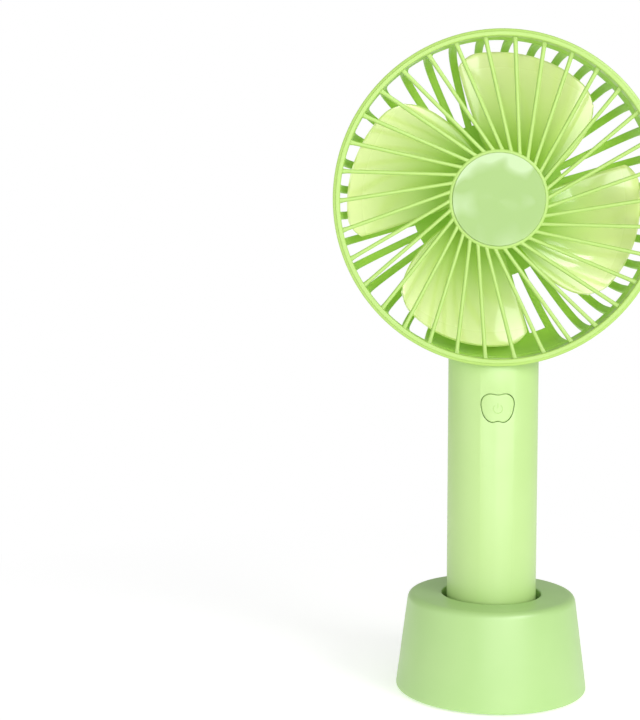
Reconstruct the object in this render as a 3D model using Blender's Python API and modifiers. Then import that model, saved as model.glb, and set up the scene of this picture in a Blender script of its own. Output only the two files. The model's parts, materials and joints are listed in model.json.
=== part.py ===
"""Handheld electric fan standing in its round desk stand.

Metres, +Z up.  The stand rests on Z = 0, the handle's axis is the Z axis,
and the fan blows towards -Y.  Head pieces are modelled in the head's own
frame: local +Z points forward (world -Y) and local +Y points up.
"""
import math

import bmesh
import bpy
from mathutils import Matrix, Vector

MM = 0.001
GAP = 0.3 * MM                      # clearance between pieces that touch
LARGE, MEDIUM, SMALL = 48, 28, 16   # sides of round pieces, by size

# ---------------------------------------------------------------- head
HEAD_Z = 161.0 * MM                 # height of the fan's axis
RING_R = 52.5 * MM                  # outside of the front rim
RING_BORE_R = 50.2 * MM
RIM_FRONT = 17.2 * MM               # local Z of the rim's front edge
RIM_BACK = 10.3 * MM
RIM_EDGE = 1.1 * MM                 # roundness of the rim's front edge
BAND_FRONT = RIM_BACK - GAP
BAND_BACK = 6.0 * MM
BAND_R = 52.2 * MM

SPOKES = 34
SPOKE_WIDTH = 1.25 * MM
SPOKE_DEPTH = 1.7 * MM
SPOKE_SWEEP = math.radians(22.0)    # rim end lies this far behind the hub end
SPOKE_PHASE = math.radians(4.6)     # first rim end, clockwise from the top
SPOKE_RIM_Z = 14.6 * MM
SPOKE_HUB_Z = 10.3 * MM
SPOKE_ROOT = 1.35 * MM              # how far a spoke runs into the hub and the rim
HUB_R = 15.8 * MM
HUB_FRONT = 11.4 * MM
HUB_BACK = 9.2 * MM
HUB_LIP = 0.3 * MM
FILM_R = 14.7 * MM
FILM_THICKNESS = 0.2 * MM

RIBS = 36
RIB_WIDTH = 2.6 * MM                # at the band; ribs narrow towards the hub
RIB_HUB_SHARE = 0.8
RIB_THICKNESS = 1.8 * MM
RIB_PHASE = math.radians(4.4)
CAGE_R = 51.0 * MM                  # rib centre line where it leaves the band
CAGE_HUB_R = 13.5 * MM
CAGE_DEPTH = 26.0 * MM              # from the band's back to the rear face
CAGE_POWER = 3.8                    # superellipse exponent of the bowl
CAGE_ANGLES = (0, 20, 40, 60, 90)   # degrees, where the bowl has its corners
NECK_PLATE_HALF = math.radians(24.5)
NECK_PLATE_CORNERS = 3              # the neck plate stops at this corner
NECK_PLATE_STEPS = 10
RIB_OVERLAP = 1.5 * MM              # how far the ribs run into the band
WIRE_RIB_WIDTH = 5.0 * MM
TONGUE = (20.0 * MM, 3.0 * MM, 15.0 * MM)
TONGUE_TOP = 110.5 * MM             # world Z
WIRE_WAY_WIDTH = 3.8 * MM
WIRE_WAY_AT = (0.0, 10.2 * MM, 111.5 * MM)          # world

CUP_R = 14.3 * MM                   # the rear cage's cup, which holds the motor
CUP_BORE_R = 12.7 * MM
CUP_EYE_R = 3.3 * MM                # hole for the motor's front boss
CUP_FRONT = -2.6 * MM
CUP_WALL = 1.4 * MM
CUP_BACK = -21.2 * MM
CAGE_DISC_R = 26.0 * MM             # solid middle of the bowl's rear face
CAGE_DISC = (-19.1 * MM, -20.9 * MM)
COVER_SPIGOT = 1.6 * MM
COVER_CROWN = 1.5 * MM

# ---------------------------------------------------------------- motor
MOTOR_R = 12.2 * MM
MOTOR_FRONT = -4.3 * MM
MOTOR_LENGTH = 12.0 * MM
MOTOR_WALL = 0.9 * MM
MOTOR_BACK = MOTOR_FRONT - MOTOR_LENGTH
MOTOR_EDGE = 0.6 * MM
SHAFT_R = 1.0 * MM
SHAFT_FRONT = 5.2 * MM
SHAFT_STUB = 0.8 * MM               # how far the shaft stands out at the back
SHAFT_SLEEVE_R = SHAFT_R + 0.1 * MM
BUSHING_R = 2.2 * MM
BUSHING_BORE_R = SHAFT_R + 0.06 * MM
BUSHING_LENGTH = 1.9 * MM
BUSHING_HOLE_R = BUSHING_R + 0.1 * MM
NOSE_R = 3.0 * MM                   # the motor can's front boss
NOSE_LENGTH = 1.4 * MM
END_CAP_THICKNESS = 1.6 * MM
END_CAP_FRONT = MOTOR_BACK + END_CAP_THICKNESS
MAGNET_R = (8.7 * MM, 10.9 * MM)
MAGNET_HALF = math.radians(62.0)
MAGNET_LENGTH = 7.0 * MM
MAGNET_STEPS = 14
MAGNET_MIDDLE = MOTOR_FRONT - MOTOR_LENGTH / 2 + 0.6 * MM
BRUSH_SIZE = (4.6 * MM, 1.2 * MM, 1.2 * MM)
BRUSH_X = 5.2 * MM
BRUSH_Z = END_CAP_FRONT + GAP + 0.9 * MM
TERMINAL_SIZE = (2.2 * MM, 0.5 * MM, 1.9 * MM)
TERMINAL_AT = (5.0 * MM, -6.0 * MM)
MOTOR_SCREW_X = 8.2 * MM
MOTOR_SCREW_R = 0.8 * MM
MOTOR_SCREW_HEAD = (1.8 * MM, 1.1 * MM)            # radius, height
MOTOR_SCREW_SLOT = (2.4 * MM, 0.45 * MM, 0.8 * MM)

CORE_R = 8.2 * MM
CORE_LENGTH = 4.6 * MM
CORE_MIDDLE = MOTOR_FRONT - MOTOR_LENGTH / 2 + 0.8 * MM
CORE_HUB_R = 3.0 * MM
POLES = 3
POLE_NECK = (1.6 * MM, 4.6 * MM, CORE_LENGTH - 0.2 * MM)
POLE_NECK_R = 4.6 * MM              # radius of the neck's middle
SHOE_THICKNESS = 1.5 * MM
COIL_SIZE = (3.6 * MM, 2.1 * MM, CORE_LENGTH + 1.8 * MM)
COIL_HOLE = (2.2 * MM, 4.0 * MM, CORE_LENGTH + 0.4 * MM)
COIL_MIDDLE_R = 5.1 * MM
COMMUTATOR_R = 2.4 * MM
COMMUTATOR = (CORE_MIDDLE - CORE_LENGTH / 2 - 1.3 * MM, END_CAP_FRONT + 0.5 * MM)

# ---------------------------------------------------------------- impeller
BLADES = 4
BLADE_THICKNESS = 1.0 * MM
BLADE_BACK = -6.6 * MM
BLADE_FRONT = 6.6 * MM
BLADE_TIP_R = 48.0 * MM             # at the leading edge
BLADE_TIP_DROP = 3.6 * MM           # how much shorter the trailing edge is
ROTOR_HUB_R = 13.3 * MM
ROTOR_HUB_FRONT = 7.4 * MM
ROTOR_HUB_BACK = -1.7 * MM
ROTOR_WALL = 1.5 * MM
ROTOR_BOSS_R = 2.6 * MM
ROTOR_BOSS_BACK = -1.0 * MM

# ---------------------------------------------------------------- handle
HANDLE_R = 14.65 * MM
HANDLE_WALL = 2.0 * MM
HANDLE_BOTTOM = 16.0 * MM
HANDLE_TOP = 122.0 * MM             # before the head's outline is cut away
HANDLE_BORE_R = HANDLE_R - HANDLE_WALL
HANDLE_SIDES = 36
SEAM = 0.15 * MM                    # half the gap between the two shells
BULKHEAD = (84.2 * MM, 85.8 * MM)
BULKHEAD_EYE_R = 5.0 * MM
LEDGE = (88.9 * MM, 90.5 * MM)      # carries the control board
LEDGE_R = 10.4 * MM
LEDGE_NOTCH = (13.8 * MM, 5.5 * MM, 2.6 * MM)
LEDGE_NOTCH_Y = -9.85 * MM

SCREW_X = 7.5 * MM
SCREW_Z = 102.5 * MM
SCREW_R = 0.75 * MM
SCREW_SPAN = (-8.4 * MM, 8.6 * MM)
SCREW_HEAD_R = 1.6 * MM
SCREW_HEAD = (7.75 * MM, 9.2 * MM)
SCREW_SLOT = (2.2 * MM, 0.8 * MM, 0.45 * MM)
SCREW_BOSS_R = 2.5 * MM
SCREW_BOSS = (1.8 * MM, 10.3 * MM)  # from the parting plane to the wall
PILOT_DEPTH = 9.0 * MM
CLEARANCE_HOLE_R = 1.1 * MM
SINK_R = 1.95 * MM
SINK_FLOOR = 7.4 * MM
TONGUE_HOLE_R = 1.3 * MM

BUTTON_Z = 95.0 * MM
BUTTON_HALF_WIDTH = 5.25 * MM
BUTTON_HALF_HEIGHT = 4.9 * MM
BUTTON_SQUARENESS = 2.5             # superellipse exponent of its outline
BUTTON_DIP = (0.15, 0.34)           # depth and width of the dips, as shares
BUTTON_TAPER = 0.16                 # wider at the top
BUTTON_BACK_R = 11.6 * MM
BUTTON_LIP = 0.8 * MM
BUTTON_LIP_R = (11.3 * MM, 12.3 * MM)
BUTTON_SIDES = 90

# ---------------------------------------------------------------- electronics
BOARD_TOP = 92.0 * MM
BOARD_BOTTOM = LEDGE[1] + GAP
BUTTON_NOTCH = (16.0 * MM, 8.0 * MM, 4.0 * MM)
BUTTON_NOTCH_Y = -12.0 * MM
STRIP_NOTCH_R = 2.2 * MM
SWITCH_SIZE = (6.0 * MM, 3.6 * MM, 5.0 * MM)
SWITCH_Y = -7.9 * MM
SWITCH_WELL = (1.5 * MM, -8.5 * MM)                # radius, floor's Y
PLUNGER = (1.2 * MM, -9.25 * MM, -11.0 * MM)       # radius, back and front Y
USB_SIZE = (7.6 * MM, 5.4 * MM, 2.7 * MM)
USB_Y = 9.8 * MM
USB_Z = BOARD_TOP + GAP + USB_SIZE[2] / 2
USB_MOUTH = (6.9 * MM, 6.0 * MM, 1.9 * MM)
USB_TONGUE = (3.8 * MM, 4.4 * MM, 0.5 * MM)
PORT_OPENING = (8.8 * MM, 12.0 * MM, 3.7 * MM)
CHIP_SIZE = (4.9 * MM, 3.9 * MM, 1.5 * MM)
CHIP_X = -5.8 * MM
LED_SIZE = (1.6 * MM, 0.9 * MM, 0.8 * MM)
LED_Y = 8.2 * MM
LENS_R = 1.0 * MM
LENS_X = 6.3 * MM
LENS_BACK = 9.4 * MM

# ---------------------------------------------------------------- battery
CAP_BOTTOM = 8.7 * MM
CAP_COLLAR_TOP = 15.7 * MM
CAP_SPIGOT_TOP = 20.0 * MM
CELL_R = 9.2 * MM
CELL_BOTTOM = 17.4 * MM
CELL_LENGTH = 64.0 * MM
CELL_TOP = CELL_BOTTOM + CELL_LENGTH
CELL_EDGE = 0.8 * MM
TERMINAL_R = 3.2 * MM
TERMINAL_HEIGHT = 1.3 * MM
CONTACT_R = 6.5 * MM
CONTACT_THICKNESS = 0.5 * MM
LEAD_R = 0.6 * MM
STRIP_SIZE = (0.4 * MM, 4.0 * MM)
STRIP_X = -(CELL_R + 1.6 * MM)
STRIP_LOW = 22.0 * MM
CAP_EDGE = 1.4 * MM
CAP_FLOOR = 2.0 * MM
CAP_SPIGOT_WALL = 1.5 * MM
COIN_SLOT = (13.0 * MM, 1.8 * MM, 1.6 * MM)
BOTTOM_CONTACT = (8.5 * MM, 0.4 * MM)              # radius, thickness
SPRING_R = (6.0 * MM, 4.0 * MM)                    # at the cap, at the cell
SPRING_WIRE_R = 0.35 * MM
SPRING_TURNS = 3.5
SPRING_STEPS = 11                                  # points for each turn

# ---------------------------------------------------------------- stand
STAND_BASE_R = 31.4 * MM
STAND_TOP_R = 27.3 * MM
STAND_HEIGHT = 32.0 * MM
STAND_BASE_Z = 0.6 * MM
STAND_WALL = 2.2 * MM
SOCKET_R = 16.3 * MM
SOCKET_FLOOR = (5.2 * MM, 7.0 * MM)
SOCKET_WALL = 1.8 * MM
SOCKET_EDGE = 0.6 * MM
STAND_TOP_EDGE = 2.5 * MM
STAND_BASE_EDGE = 1.6 * MM
BASE_PLATE = (0.8 * MM, 3.4 * MM)
BASE_PLATE_GAP = 0.9 * MM
FOOT_RING = (23.0 * MM, 27.0 * MM)                 # inner and outer radius
FOOT_RING_TOP = 1.3 * MM
FOOT_GROOVE_TOP = FOOT_RING_TOP + GAP
PAD = (7.3 * MM, 8.4 * MM)
PAD_GAP = 0.6 * MM

# ---------------------------------------------------------------- wiring
WIRE_R = 0.5 * MM
WIRE_X = 1.0 * MM                   # each wire's distance from the middle
WIRE_INSET = 2.3 * MM               # inside the wire rib's centre line
WIRE_ANGLES = (38, 48, 58, 68, 78)  # degrees round the bowl

# RGB, roughness, metallic
LIME = ((0.50, 0.76, 0.30), 0.42, 0.0)
LIME_DEEP = ((0.32, 0.60, 0.12), 0.42, 0.0)
BLADE_GREEN = ((0.52, 0.72, 0.22), 0.25, 0.0)
CLEAR_FILM = ((0.80, 0.90, 0.78), 0.10, 0.0)
STEEL = ((0.62, 0.63, 0.65), 0.30, 1.0)
BRASS = ((0.80, 0.60, 0.25), 0.30, 1.0)
COPPER = ((0.80, 0.35, 0.16), 0.35, 1.0)
MAGNET_GREY = ((0.10, 0.10, 0.11), 0.60, 0.0)
BLACK_PLASTIC = ((0.03, 0.03, 0.03), 0.45, 0.0)
WHITE_PLASTIC = ((0.85, 0.85, 0.82), 0.45, 0.0)
BOARD_GREEN = ((0.04, 0.25, 0.10), 0.40, 0.0)
RED_WIRE = ((0.60, 0.04, 0.03), 0.45, 0.0)
BLACK_WIRE = ((0.03, 0.03, 0.03), 0.45, 0.0)
CELL_WRAP = ((0.10, 0.35, 0.60), 0.35, 0.0)
FOAM = ((0.10, 0.10, 0.10), 0.90, 0.0)
LAMP = ((0.85, 0.85, 0.90), 0.20, 0.0)


# ================================================================ helpers
def clear_scene():
    for obj in list(bpy.data.objects):
        bpy.data.objects.remove(obj, do_unlink=True)


def collection(name):
    group = bpy.data.collections.new(name)
    bpy.context.scene.collection.children.link(group)
    return group


def make_material(name, look):
    colour, roughness, metallic = look
    mat = bpy.data.materials.new(name)
    mat.use_nodes = True
    shader = mat.node_tree.nodes["Principled BSDF"]
    shader.inputs["Base Color"].default_value = (*colour, 1.0)
    shader.inputs["Roughness"].default_value = roughness
    shader.inputs["Metallic"].default_value = metallic
    mat.diffuse_color = (*colour, 1.0)
    return mat


def place(name, mesh, look, parent=None, location=(0, 0, 0), rotation=(0, 0, 0)):
    """Add a finished mesh to the fan as a sub-part with its own material."""
    obj = bpy.data.objects.new(name, mesh)
    PARTS.objects.link(obj)
    obj.parent = parent
    obj.location = location
    obj.rotation_euler = rotation
    mesh.materials.append(make_material(name, look))
    mesh.shade_smooth()
    mesh.set_sharp_from_angle(angle=math.radians(35.0))
    return obj


def tool(name, mesh, parent=None, location=(0, 0, 0), rotation=(0, 0, 0)):
    """Add a mesh that only cuts or joins another one."""
    obj = bpy.data.objects.new(name, mesh)
    TOOLS.objects.link(obj)
    obj.parent = parent
    obj.location = location
    obj.rotation_euler = rotation
    obj.hide_render = True
    obj.display_type = "WIRE"
    return obj


def boolean(obj, operand, operation):
    modifier = obj.modifiers.new(operand.name, "BOOLEAN")
    modifier.operation = operation
    modifier.solver = "EXACT"
    modifier.object = operand


def baked(obj):
    """A new mesh holding the object as its modifiers leave it."""
    depsgraph = bpy.context.evaluated_depsgraph_get()
    return bpy.data.meshes.new_from_object(obj.evaluated_get(depsgraph))


def turned_mesh(name, profile, segments, closed=True):
    """Turn a profile of (radius, height) points about the local Z axis.

    The outer side runs from top to bottom.  A closed profile is a ring; an
    open one starts and ends on the axis.
    """
    mesh = bpy.data.meshes.new(name)
    shape = bmesh.new()
    verts = [shape.verts.new((radius, 0.0, height)) for radius, height in profile]
    for first, second in zip(verts, verts[1:]):
        shape.edges.new((first, second))
    if closed:
        shape.edges.new((verts[-1], verts[0]))
    shape.to_mesh(mesh)
    shape.free()
    guide = tool(name + "_profile", mesh)
    screw = guide.modifiers.new("turn", "SCREW")
    screw.steps = segments
    screw.render_steps = segments
    screw.use_merge_vertices = True
    screw.merge_threshold = 0.00001
    result = baked(guide)
    bpy.data.objects.remove(guide)
    return result


def tube_profile(inner, outer, top, bottom):
    return [(inner, top), (outer, top), (outer, bottom), (inner, bottom)]


def disc_profile(radius, top, bottom):
    return [(0.0, top), (radius, top), (radius, bottom), (0.0, bottom)]


def arc(centre, radius, start_deg, end_deg, steps):
    """Points of a circular arc, for the round corners of a profile."""
    points = []
    for step in range(steps + 1):
        angle = math.radians(start_deg + (end_deg - start_deg) * step / steps)
        points.append((centre[0] + radius * math.cos(angle),
                       centre[1] + radius * math.sin(angle)))
    return points


def box_mesh(name, size, centre=(0, 0, 0)):
    mesh = bpy.data.meshes.new(name)
    shape = bmesh.new()
    bmesh.ops.create_cube(shape, size=1.0)
    bmesh.ops.scale(shape, vec=size, verts=shape.verts)
    bmesh.ops.translate(shape, vec=centre, verts=shape.verts)
    shape.to_mesh(mesh)
    shape.free()
    return mesh


def rod_mesh(name, radius, start, end, segments=SMALL):
    """A solid cylinder between two points."""
    start, end = Vector(start), Vector(end)
    along = end - start
    mesh = bpy.data.meshes.new(name)
    shape = bmesh.new()
    turn = along.to_track_quat("Z", "Y").to_matrix().to_4x4()
    bmesh.ops.create_cone(shape, cap_ends=True, segments=segments, radius1=radius,
                          radius2=radius, depth=along.length,
                          matrix=Matrix.Translation((start + end) / 2) @ turn)
    shape.to_mesh(mesh)
    shape.free()
    return mesh


def prism_mesh(name, outline, thickness):
    """A flat outline in local XY, extruded by half its thickness each way."""
    curve = bpy.data.curves.new(name, "CURVE")
    curve.dimensions = "2D"
    curve.fill_mode = "BOTH"
    curve.extrude = thickness / 2
    spline = curve.splines.new("POLY")
    spline.points.add(len(outline) - 1)
    for point, (x, y) in zip(spline.points, outline):
        point.co = (x, y, 0.0, 1.0)
    spline.use_cyclic_u = True
    return welded_curve_mesh(name, curve)


def wire_mesh(name, points, radius):
    """A round wire through the points, with flat ends."""
    curve = bpy.data.curves.new(name, "CURVE")
    curve.dimensions = "3D"
    curve.bevel_depth = radius
    curve.bevel_resolution = 2
    curve.use_fill_caps = True
    spline = curve.splines.new("POLY")
    spline.points.add(len(points) - 1)
    for point, place_at in zip(spline.points, points):
        point.co = (*place_at, 1.0)
    return welded_curve_mesh(name, curve)


def welded_curve_mesh(name, curve):
    guide = bpy.data.objects.new(name + "_curve", curve)
    TOOLS.objects.link(guide)
    mesh = baked(guide)
    bpy.data.objects.remove(guide)
    shape = bmesh.new()
    shape.from_mesh(mesh)
    bmesh.ops.remove_doubles(shape, verts=shape.verts, dist=0.000001)
    bmesh.ops.recalc_face_normals(shape, faces=shape.faces)
    shape.to_mesh(mesh)
    shape.free()
    return mesh


def repeated_mesh(name, mesh, matrices):
    """One mesh holding a copy of another at each matrix."""
    result = bpy.data.meshes.new(name)
    shape = bmesh.new()
    for matrix in matrices:
        copy = mesh.copy()
        copy.transform(matrix)
        shape.from_mesh(copy)
        bpy.data.meshes.remove(copy)
    shape.to_mesh(result)
    shape.free()
    return result


def smooth_route(points, steps):
    """Catmull-Rom points through a route, its end points included."""
    route = [Vector(p) for p in points]
    padded = [2 * route[0] - route[1]] + route + [2 * route[-1] - route[-2]]
    smooth = []
    for index in range(len(route) - 1):
        a, b, c, d = padded[index:index + 4]
        for step in range(steps):
            t = step / steps
            smooth.append(0.5 * (2 * b + (c - a) * t + (2 * a - 5 * b + 4 * c - d) * t * t
                                 + (3 * b - 3 * c + d - a) * t ** 3))
    smooth.append(route[-1])
    return smooth


def clockwise(angle):
    """Turn about the head's axis, clockwise as seen from the front."""
    return Matrix.Rotation(-angle, 4, "Z")


# ================================================================ stand
def stand_slope(height):
    """Outer radius of the stand's cone at a height."""
    share = (height - STAND_BASE_Z) / (STAND_HEIGHT - STAND_BASE_Z)
    return STAND_BASE_R + (STAND_TOP_R - STAND_BASE_R) * share


def stand_shell_profile():
    """The open cone with the round socket hanging from its top."""
    top_edge = arc((STAND_TOP_R - STAND_TOP_EDGE, STAND_HEIGHT - STAND_TOP_EDGE),
                   STAND_TOP_EDGE, 90, 5, 3)
    base_edge = arc((STAND_BASE_R - STAND_BASE_EDGE, STAND_BASE_Z + STAND_BASE_EDGE),
                    STAND_BASE_EDGE, 5, -90, 2)
    inner_top = STAND_HEIGHT - STAND_WALL
    socket_outer = SOCKET_R + SOCKET_WALL
    socket = [(0.0, SOCKET_FLOOR[1]), (SOCKET_R, SOCKET_FLOOR[1]),
              (SOCKET_R, STAND_HEIGHT - SOCKET_EDGE), (SOCKET_R + SOCKET_EDGE, STAND_HEIGHT)]
    underside = [(STAND_BASE_R - STAND_WALL, STAND_BASE_Z),
                 (stand_slope(inner_top) - STAND_WALL, inner_top),
                 (socket_outer, inner_top), (socket_outer, SOCKET_FLOOR[0]),
                 (0.0, SOCKET_FLOOR[0])]
    return socket + top_edge + base_edge + underside


def base_plate_profile():
    """A disc with a groove underneath for the foot ring."""
    radius = STAND_BASE_R - STAND_WALL - BASE_PLATE_GAP
    bottom, top = BASE_PLATE
    return [(0.0, top), (radius, top), (radius, bottom),
            (FOOT_RING[1] + GAP, bottom), (FOOT_RING[1] + GAP, FOOT_GROOVE_TOP),
            (FOOT_RING[0] - GAP, FOOT_GROOVE_TOP), (FOOT_RING[0] - GAP, bottom),
            (0.0, bottom)]


def make_stand():
    shell = turned_mesh("stand_shell", stand_shell_profile(), LARGE, closed=False)
    place("stand_shell", shell, LIME)
    plate = turned_mesh("stand_base_plate", base_plate_profile(), MEDIUM, closed=False)
    place("stand_base_plate", plate, LIME)
    ring = turned_mesh("stand_foot_ring", tube_profile(*FOOT_RING, FOOT_RING_TOP, 0.0), MEDIUM)
    place("stand_foot_ring", ring, FOAM)
    pad = turned_mesh("socket_pad", disc_profile(SOCKET_R - PAD_GAP, PAD[1], PAD[0]),
                      MEDIUM, closed=False)
    place("socket_pad", pad, FOAM)


# ================================================================ handle
def handle_tube_mesh(name):
    """The whole round handle with its two inner shelves."""
    return turned_mesh(name, [
        (HANDLE_BORE_R, HANDLE_TOP), (HANDLE_R, HANDLE_TOP), (HANDLE_R, HANDLE_BOTTOM),
        (HANDLE_BORE_R, HANDLE_BOTTOM), (HANDLE_BORE_R, BULKHEAD[0]),
        (BULKHEAD_EYE_R, BULKHEAD[0]), (BULKHEAD_EYE_R, BULKHEAD[1]),
        (HANDLE_BORE_R, BULKHEAD[1]), (HANDLE_BORE_R, LEDGE[0]), (LEDGE_R, LEDGE[0]),
        (LEDGE_R, LEDGE[1]), (HANDLE_BORE_R, LEDGE[1])], HANDLE_SIDES)


def head_outline_cutter():
    """The head's outside, a gap proud of it, which the handle's top is cut to."""
    proud = RIB_THICKNESS / 2 + GAP
    front = RIM_FRONT + 5 * MM
    profile = [(0.0, front), (RING_R + GAP, front), (RING_R + GAP, BAND_BACK)]
    profile += cage_curve(proud)
    profile += [(0.0, BAND_BACK - CAGE_DEPTH - proud)]
    mesh = turned_mesh("head_outline", profile, LARGE, closed=False)
    return tool("head_outline", mesh, HEAD)


def button_outline(growth):
    """Rounded key outline with a shallow dip at the top and the bottom."""
    half_width = BUTTON_HALF_WIDTH + growth
    half_height = BUTTON_HALF_HEIGHT + growth
    depth, width = BUTTON_DIP
    points = []
    for step in range(HANDLE_SIDES):
        angle = 2 * math.pi * step / HANDLE_SIDES
        across, up = math.cos(angle), math.sin(angle)
        dip = 1.0 - depth * math.exp(-(across / width) ** 2)
        taper = 1.0 + BUTTON_TAPER * up
        rounding = (abs(across) ** BUTTON_SQUARENESS
                    + abs(up) ** BUTTON_SQUARENESS) ** (-1 / BUTTON_SQUARENESS)
        points.append((half_width * across * rounding * taper / 1.03,
                       half_height * up * rounding * dip))
    return points


def button_prism(name, growth):
    """The button's outline standing upright, centred on the handle's front."""
    mesh = prism_mesh(name, button_outline(growth), 12 * MM)
    return tool(name, mesh, None, (0, -HANDLE_R, BUTTON_Z), (math.radians(90), 0, 0))


def front_openings():
    """What is cut from the front shell: the button's hole and room for its lip."""
    notch = box_mesh("ledge_notch", LEDGE_NOTCH, (0, LEDGE_NOTCH_Y, LEDGE[1] - 1.0 * MM))
    return [tool("ledge_notch", notch), button_prism("button_opening", GAP)]


def back_openings():
    """What is cut from the back shell: the charging port and the lamp's hole."""
    port = tool("port_opening", box_mesh("port_opening", PORT_OPENING), None,
                (0, HANDLE_R, USB_Z))
    lamp_hole = rod_mesh("lamp_opening", LENS_R + GAP, (0, HANDLE_R / 2, 0),
                         (0, 2 * HANDLE_R, 0), MEDIUM)
    return [port, tool("lamp_opening", lamp_hole, None, (LENS_X, 0, USB_Z))]


def join_screw_bosses(shell, side):
    for x in (-SCREW_X, SCREW_X):
        boss = rod_mesh("boss", SCREW_BOSS_R, (x, side * SCREW_BOSS[0], SCREW_Z),
                        (x, side * SCREW_BOSS[1], SCREW_Z), 20)
        boolean(shell, tool(shell.name + "_boss", boss), "UNION")


def cut_screw_holes(shell, side):
    """Blind pilot holes in the front shell, sunk clearance holes in the back one."""
    for x in (-SCREW_X, SCREW_X):
        if side < 0:
            hole = rod_mesh("pilot", SCREW_R + GAP, (x, 0, SCREW_Z), (x, -PILOT_DEPTH, SCREW_Z))
        else:
            hole = rod_mesh("clearance", CLEARANCE_HOLE_R, (x, 0, SCREW_Z),
                            (x, 2 * HANDLE_R, SCREW_Z))
            sink = rod_mesh("sink", SINK_R, (x, SINK_FLOOR, SCREW_Z),
                            (x, 2 * HANDLE_R, SCREW_Z), 20)
            boolean(shell, tool(shell.name + "_sink", sink), "DIFFERENCE")
        boolean(shell, tool(shell.name + "_hole", hole), "DIFFERENCE")


def make_handle_shells():
    outline = head_outline_cutter()
    half_depth = 40 * MM
    for name, side, openings in (("handle_front_shell", -1, front_openings()),
                                 ("handle_back_shell", 1, back_openings())):
        shell = place(name, handle_tube_mesh(name), LIME)
        other_half = box_mesh(name + "_half", (4 * HANDLE_R, half_depth, 2 * HANDLE_TOP),
                              (0, -side * (half_depth / 2 - SEAM), 0))
        boolean(shell, tool(name + "_half", other_half), "DIFFERENCE")
        join_screw_bosses(shell, side)
        for opening in openings:
            boolean(shell, opening, "DIFFERENCE")
        cut_screw_holes(shell, side)
        boolean(shell, outline, "DIFFERENCE")


def make_handle_screws():
    for name, x in (("handle_screw_left", -SCREW_X), ("handle_screw_right", SCREW_X)):
        shank = rod_mesh(name, SCREW_R, (0, SCREW_SPAN[0], 0), (0, SCREW_SPAN[1], 0))
        head = rod_mesh(name + "_head", SCREW_HEAD_R, (0, SCREW_HEAD[0], 0),
                        (0, SCREW_HEAD[1], 0), 20)
        slot = box_mesh(name + "_slot", SCREW_SLOT, (0, SCREW_HEAD[1], 0))
        screw = place(name, shank, STEEL, None, (x, 0, SCREW_Z))
        boolean(screw, tool(name + "_head", head, None, (x, 0, SCREW_Z)), "UNION")
        boolean(screw, tool(name + "_slot", slot, None, (x, 0, SCREW_Z)), "DIFFERENCE")


def make_button():
    """A key with the handle's curve, held in by a lip behind its edge."""
    half_height = 2 * BUTTON_HALF_HEIGHT
    key_ring = tube_profile(BUTTON_BACK_R, HANDLE_R, half_height, -half_height)
    button = place("power_button", turned_mesh("power_button", key_ring, BUTTON_SIDES), LIME,
                   None, (0, 0, BUTTON_Z))
    boolean(button, button_prism("button_face", 0.0), "INTERSECT")
    lip_ring = tube_profile(*BUTTON_LIP_R, half_height, -half_height)
    lip = tool("button_lip", turned_mesh("button_lip", lip_ring, BUTTON_SIDES), None,
               (0, 0, BUTTON_Z))
    boolean(lip, button_prism("button_flange", BUTTON_LIP), "INTERSECT")
    boolean(button, lip, "UNION")


def make_switch():
    """Side-acting push switch on the board's front edge, behind the button."""
    body = place("switch_body", box_mesh("switch_body", SWITCH_SIZE), BLACK_PLASTIC, None,
                 (0, SWITCH_Y, BOARD_TOP + GAP + SWITCH_SIZE[2] / 2))
    well_r, well_floor = SWITCH_WELL
    well = rod_mesh("switch_well", well_r, (0, well_floor, 0), (0, well_floor - 2 * MM, 0), 24)
    boolean(body, tool("switch_well", well, None, (0, 0, BUTTON_Z)), "DIFFERENCE")
    radius, back, front = PLUNGER
    plunger = rod_mesh("switch_plunger", radius, (0, 0, 0), (0, front - back, 0), 24)
    place("switch_plunger", plunger, WHITE_PLASTIC, None, (0, back, BUTTON_Z))


# ================================================================ electronics
def make_board():
    thickness = BOARD_TOP - BOARD_BOTTOM
    disc = disc_profile(HANDLE_BORE_R - GAP, thickness / 2, -thickness / 2)
    board = place("control_board", turned_mesh("control_board", disc, MEDIUM, closed=False),
                  BOARD_GREEN, None, (0, 0, (BOARD_TOP + BOARD_BOTTOM) / 2))
    button_notch = box_mesh("button_notch", BUTTON_NOTCH, (0, BUTTON_NOTCH_Y, BOARD_TOP))
    boolean(board, tool("button_notch", button_notch), "DIFFERENCE")
    strip_notch = rod_mesh("strip_notch", STRIP_NOTCH_R, (-HANDLE_BORE_R, 0, LEDGE[0]),
                           (-HANDLE_BORE_R, 0, BUTTON_Z), 20)
    boolean(board, tool("strip_notch", strip_notch), "DIFFERENCE")


def make_charger():
    """The socket, the chip, and the lamp with its lens, standing on the board."""
    socket = place("usb_socket", box_mesh("usb_socket", USB_SIZE), STEEL, None,
                   (0, USB_Y, USB_Z))
    mouth = box_mesh("usb_mouth", USB_MOUTH, (0, USB_Y + 1.8 * MM, USB_Z))
    boolean(socket, tool("usb_mouth", mouth), "DIFFERENCE")
    tongue = box_mesh("usb_tongue", USB_TONGUE, (0, USB_Y - 0.2 * MM, USB_Z + 0.4 * MM))
    boolean(socket, tool("usb_tongue", tongue), "UNION")
    deck = BOARD_TOP + GAP
    place("charge_chip", box_mesh("charge_chip", CHIP_SIZE), BLACK_PLASTIC, None,
          (CHIP_X, 0.0, deck + CHIP_SIZE[2] / 2))
    place("charge_led", box_mesh("charge_led", LED_SIZE), LAMP, None,
          (LENS_X, LED_Y, deck + LED_SIZE[2] / 2))
    lens_end = math.sqrt(HANDLE_R ** 2 - LENS_X ** 2)
    lens = rod_mesh("charge_lens", LENS_R, (0, LENS_BACK, 0), (0, lens_end, 0), 20)
    place("charge_lens", lens, LAMP, None, (LENS_X, 0, USB_Z))


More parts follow.
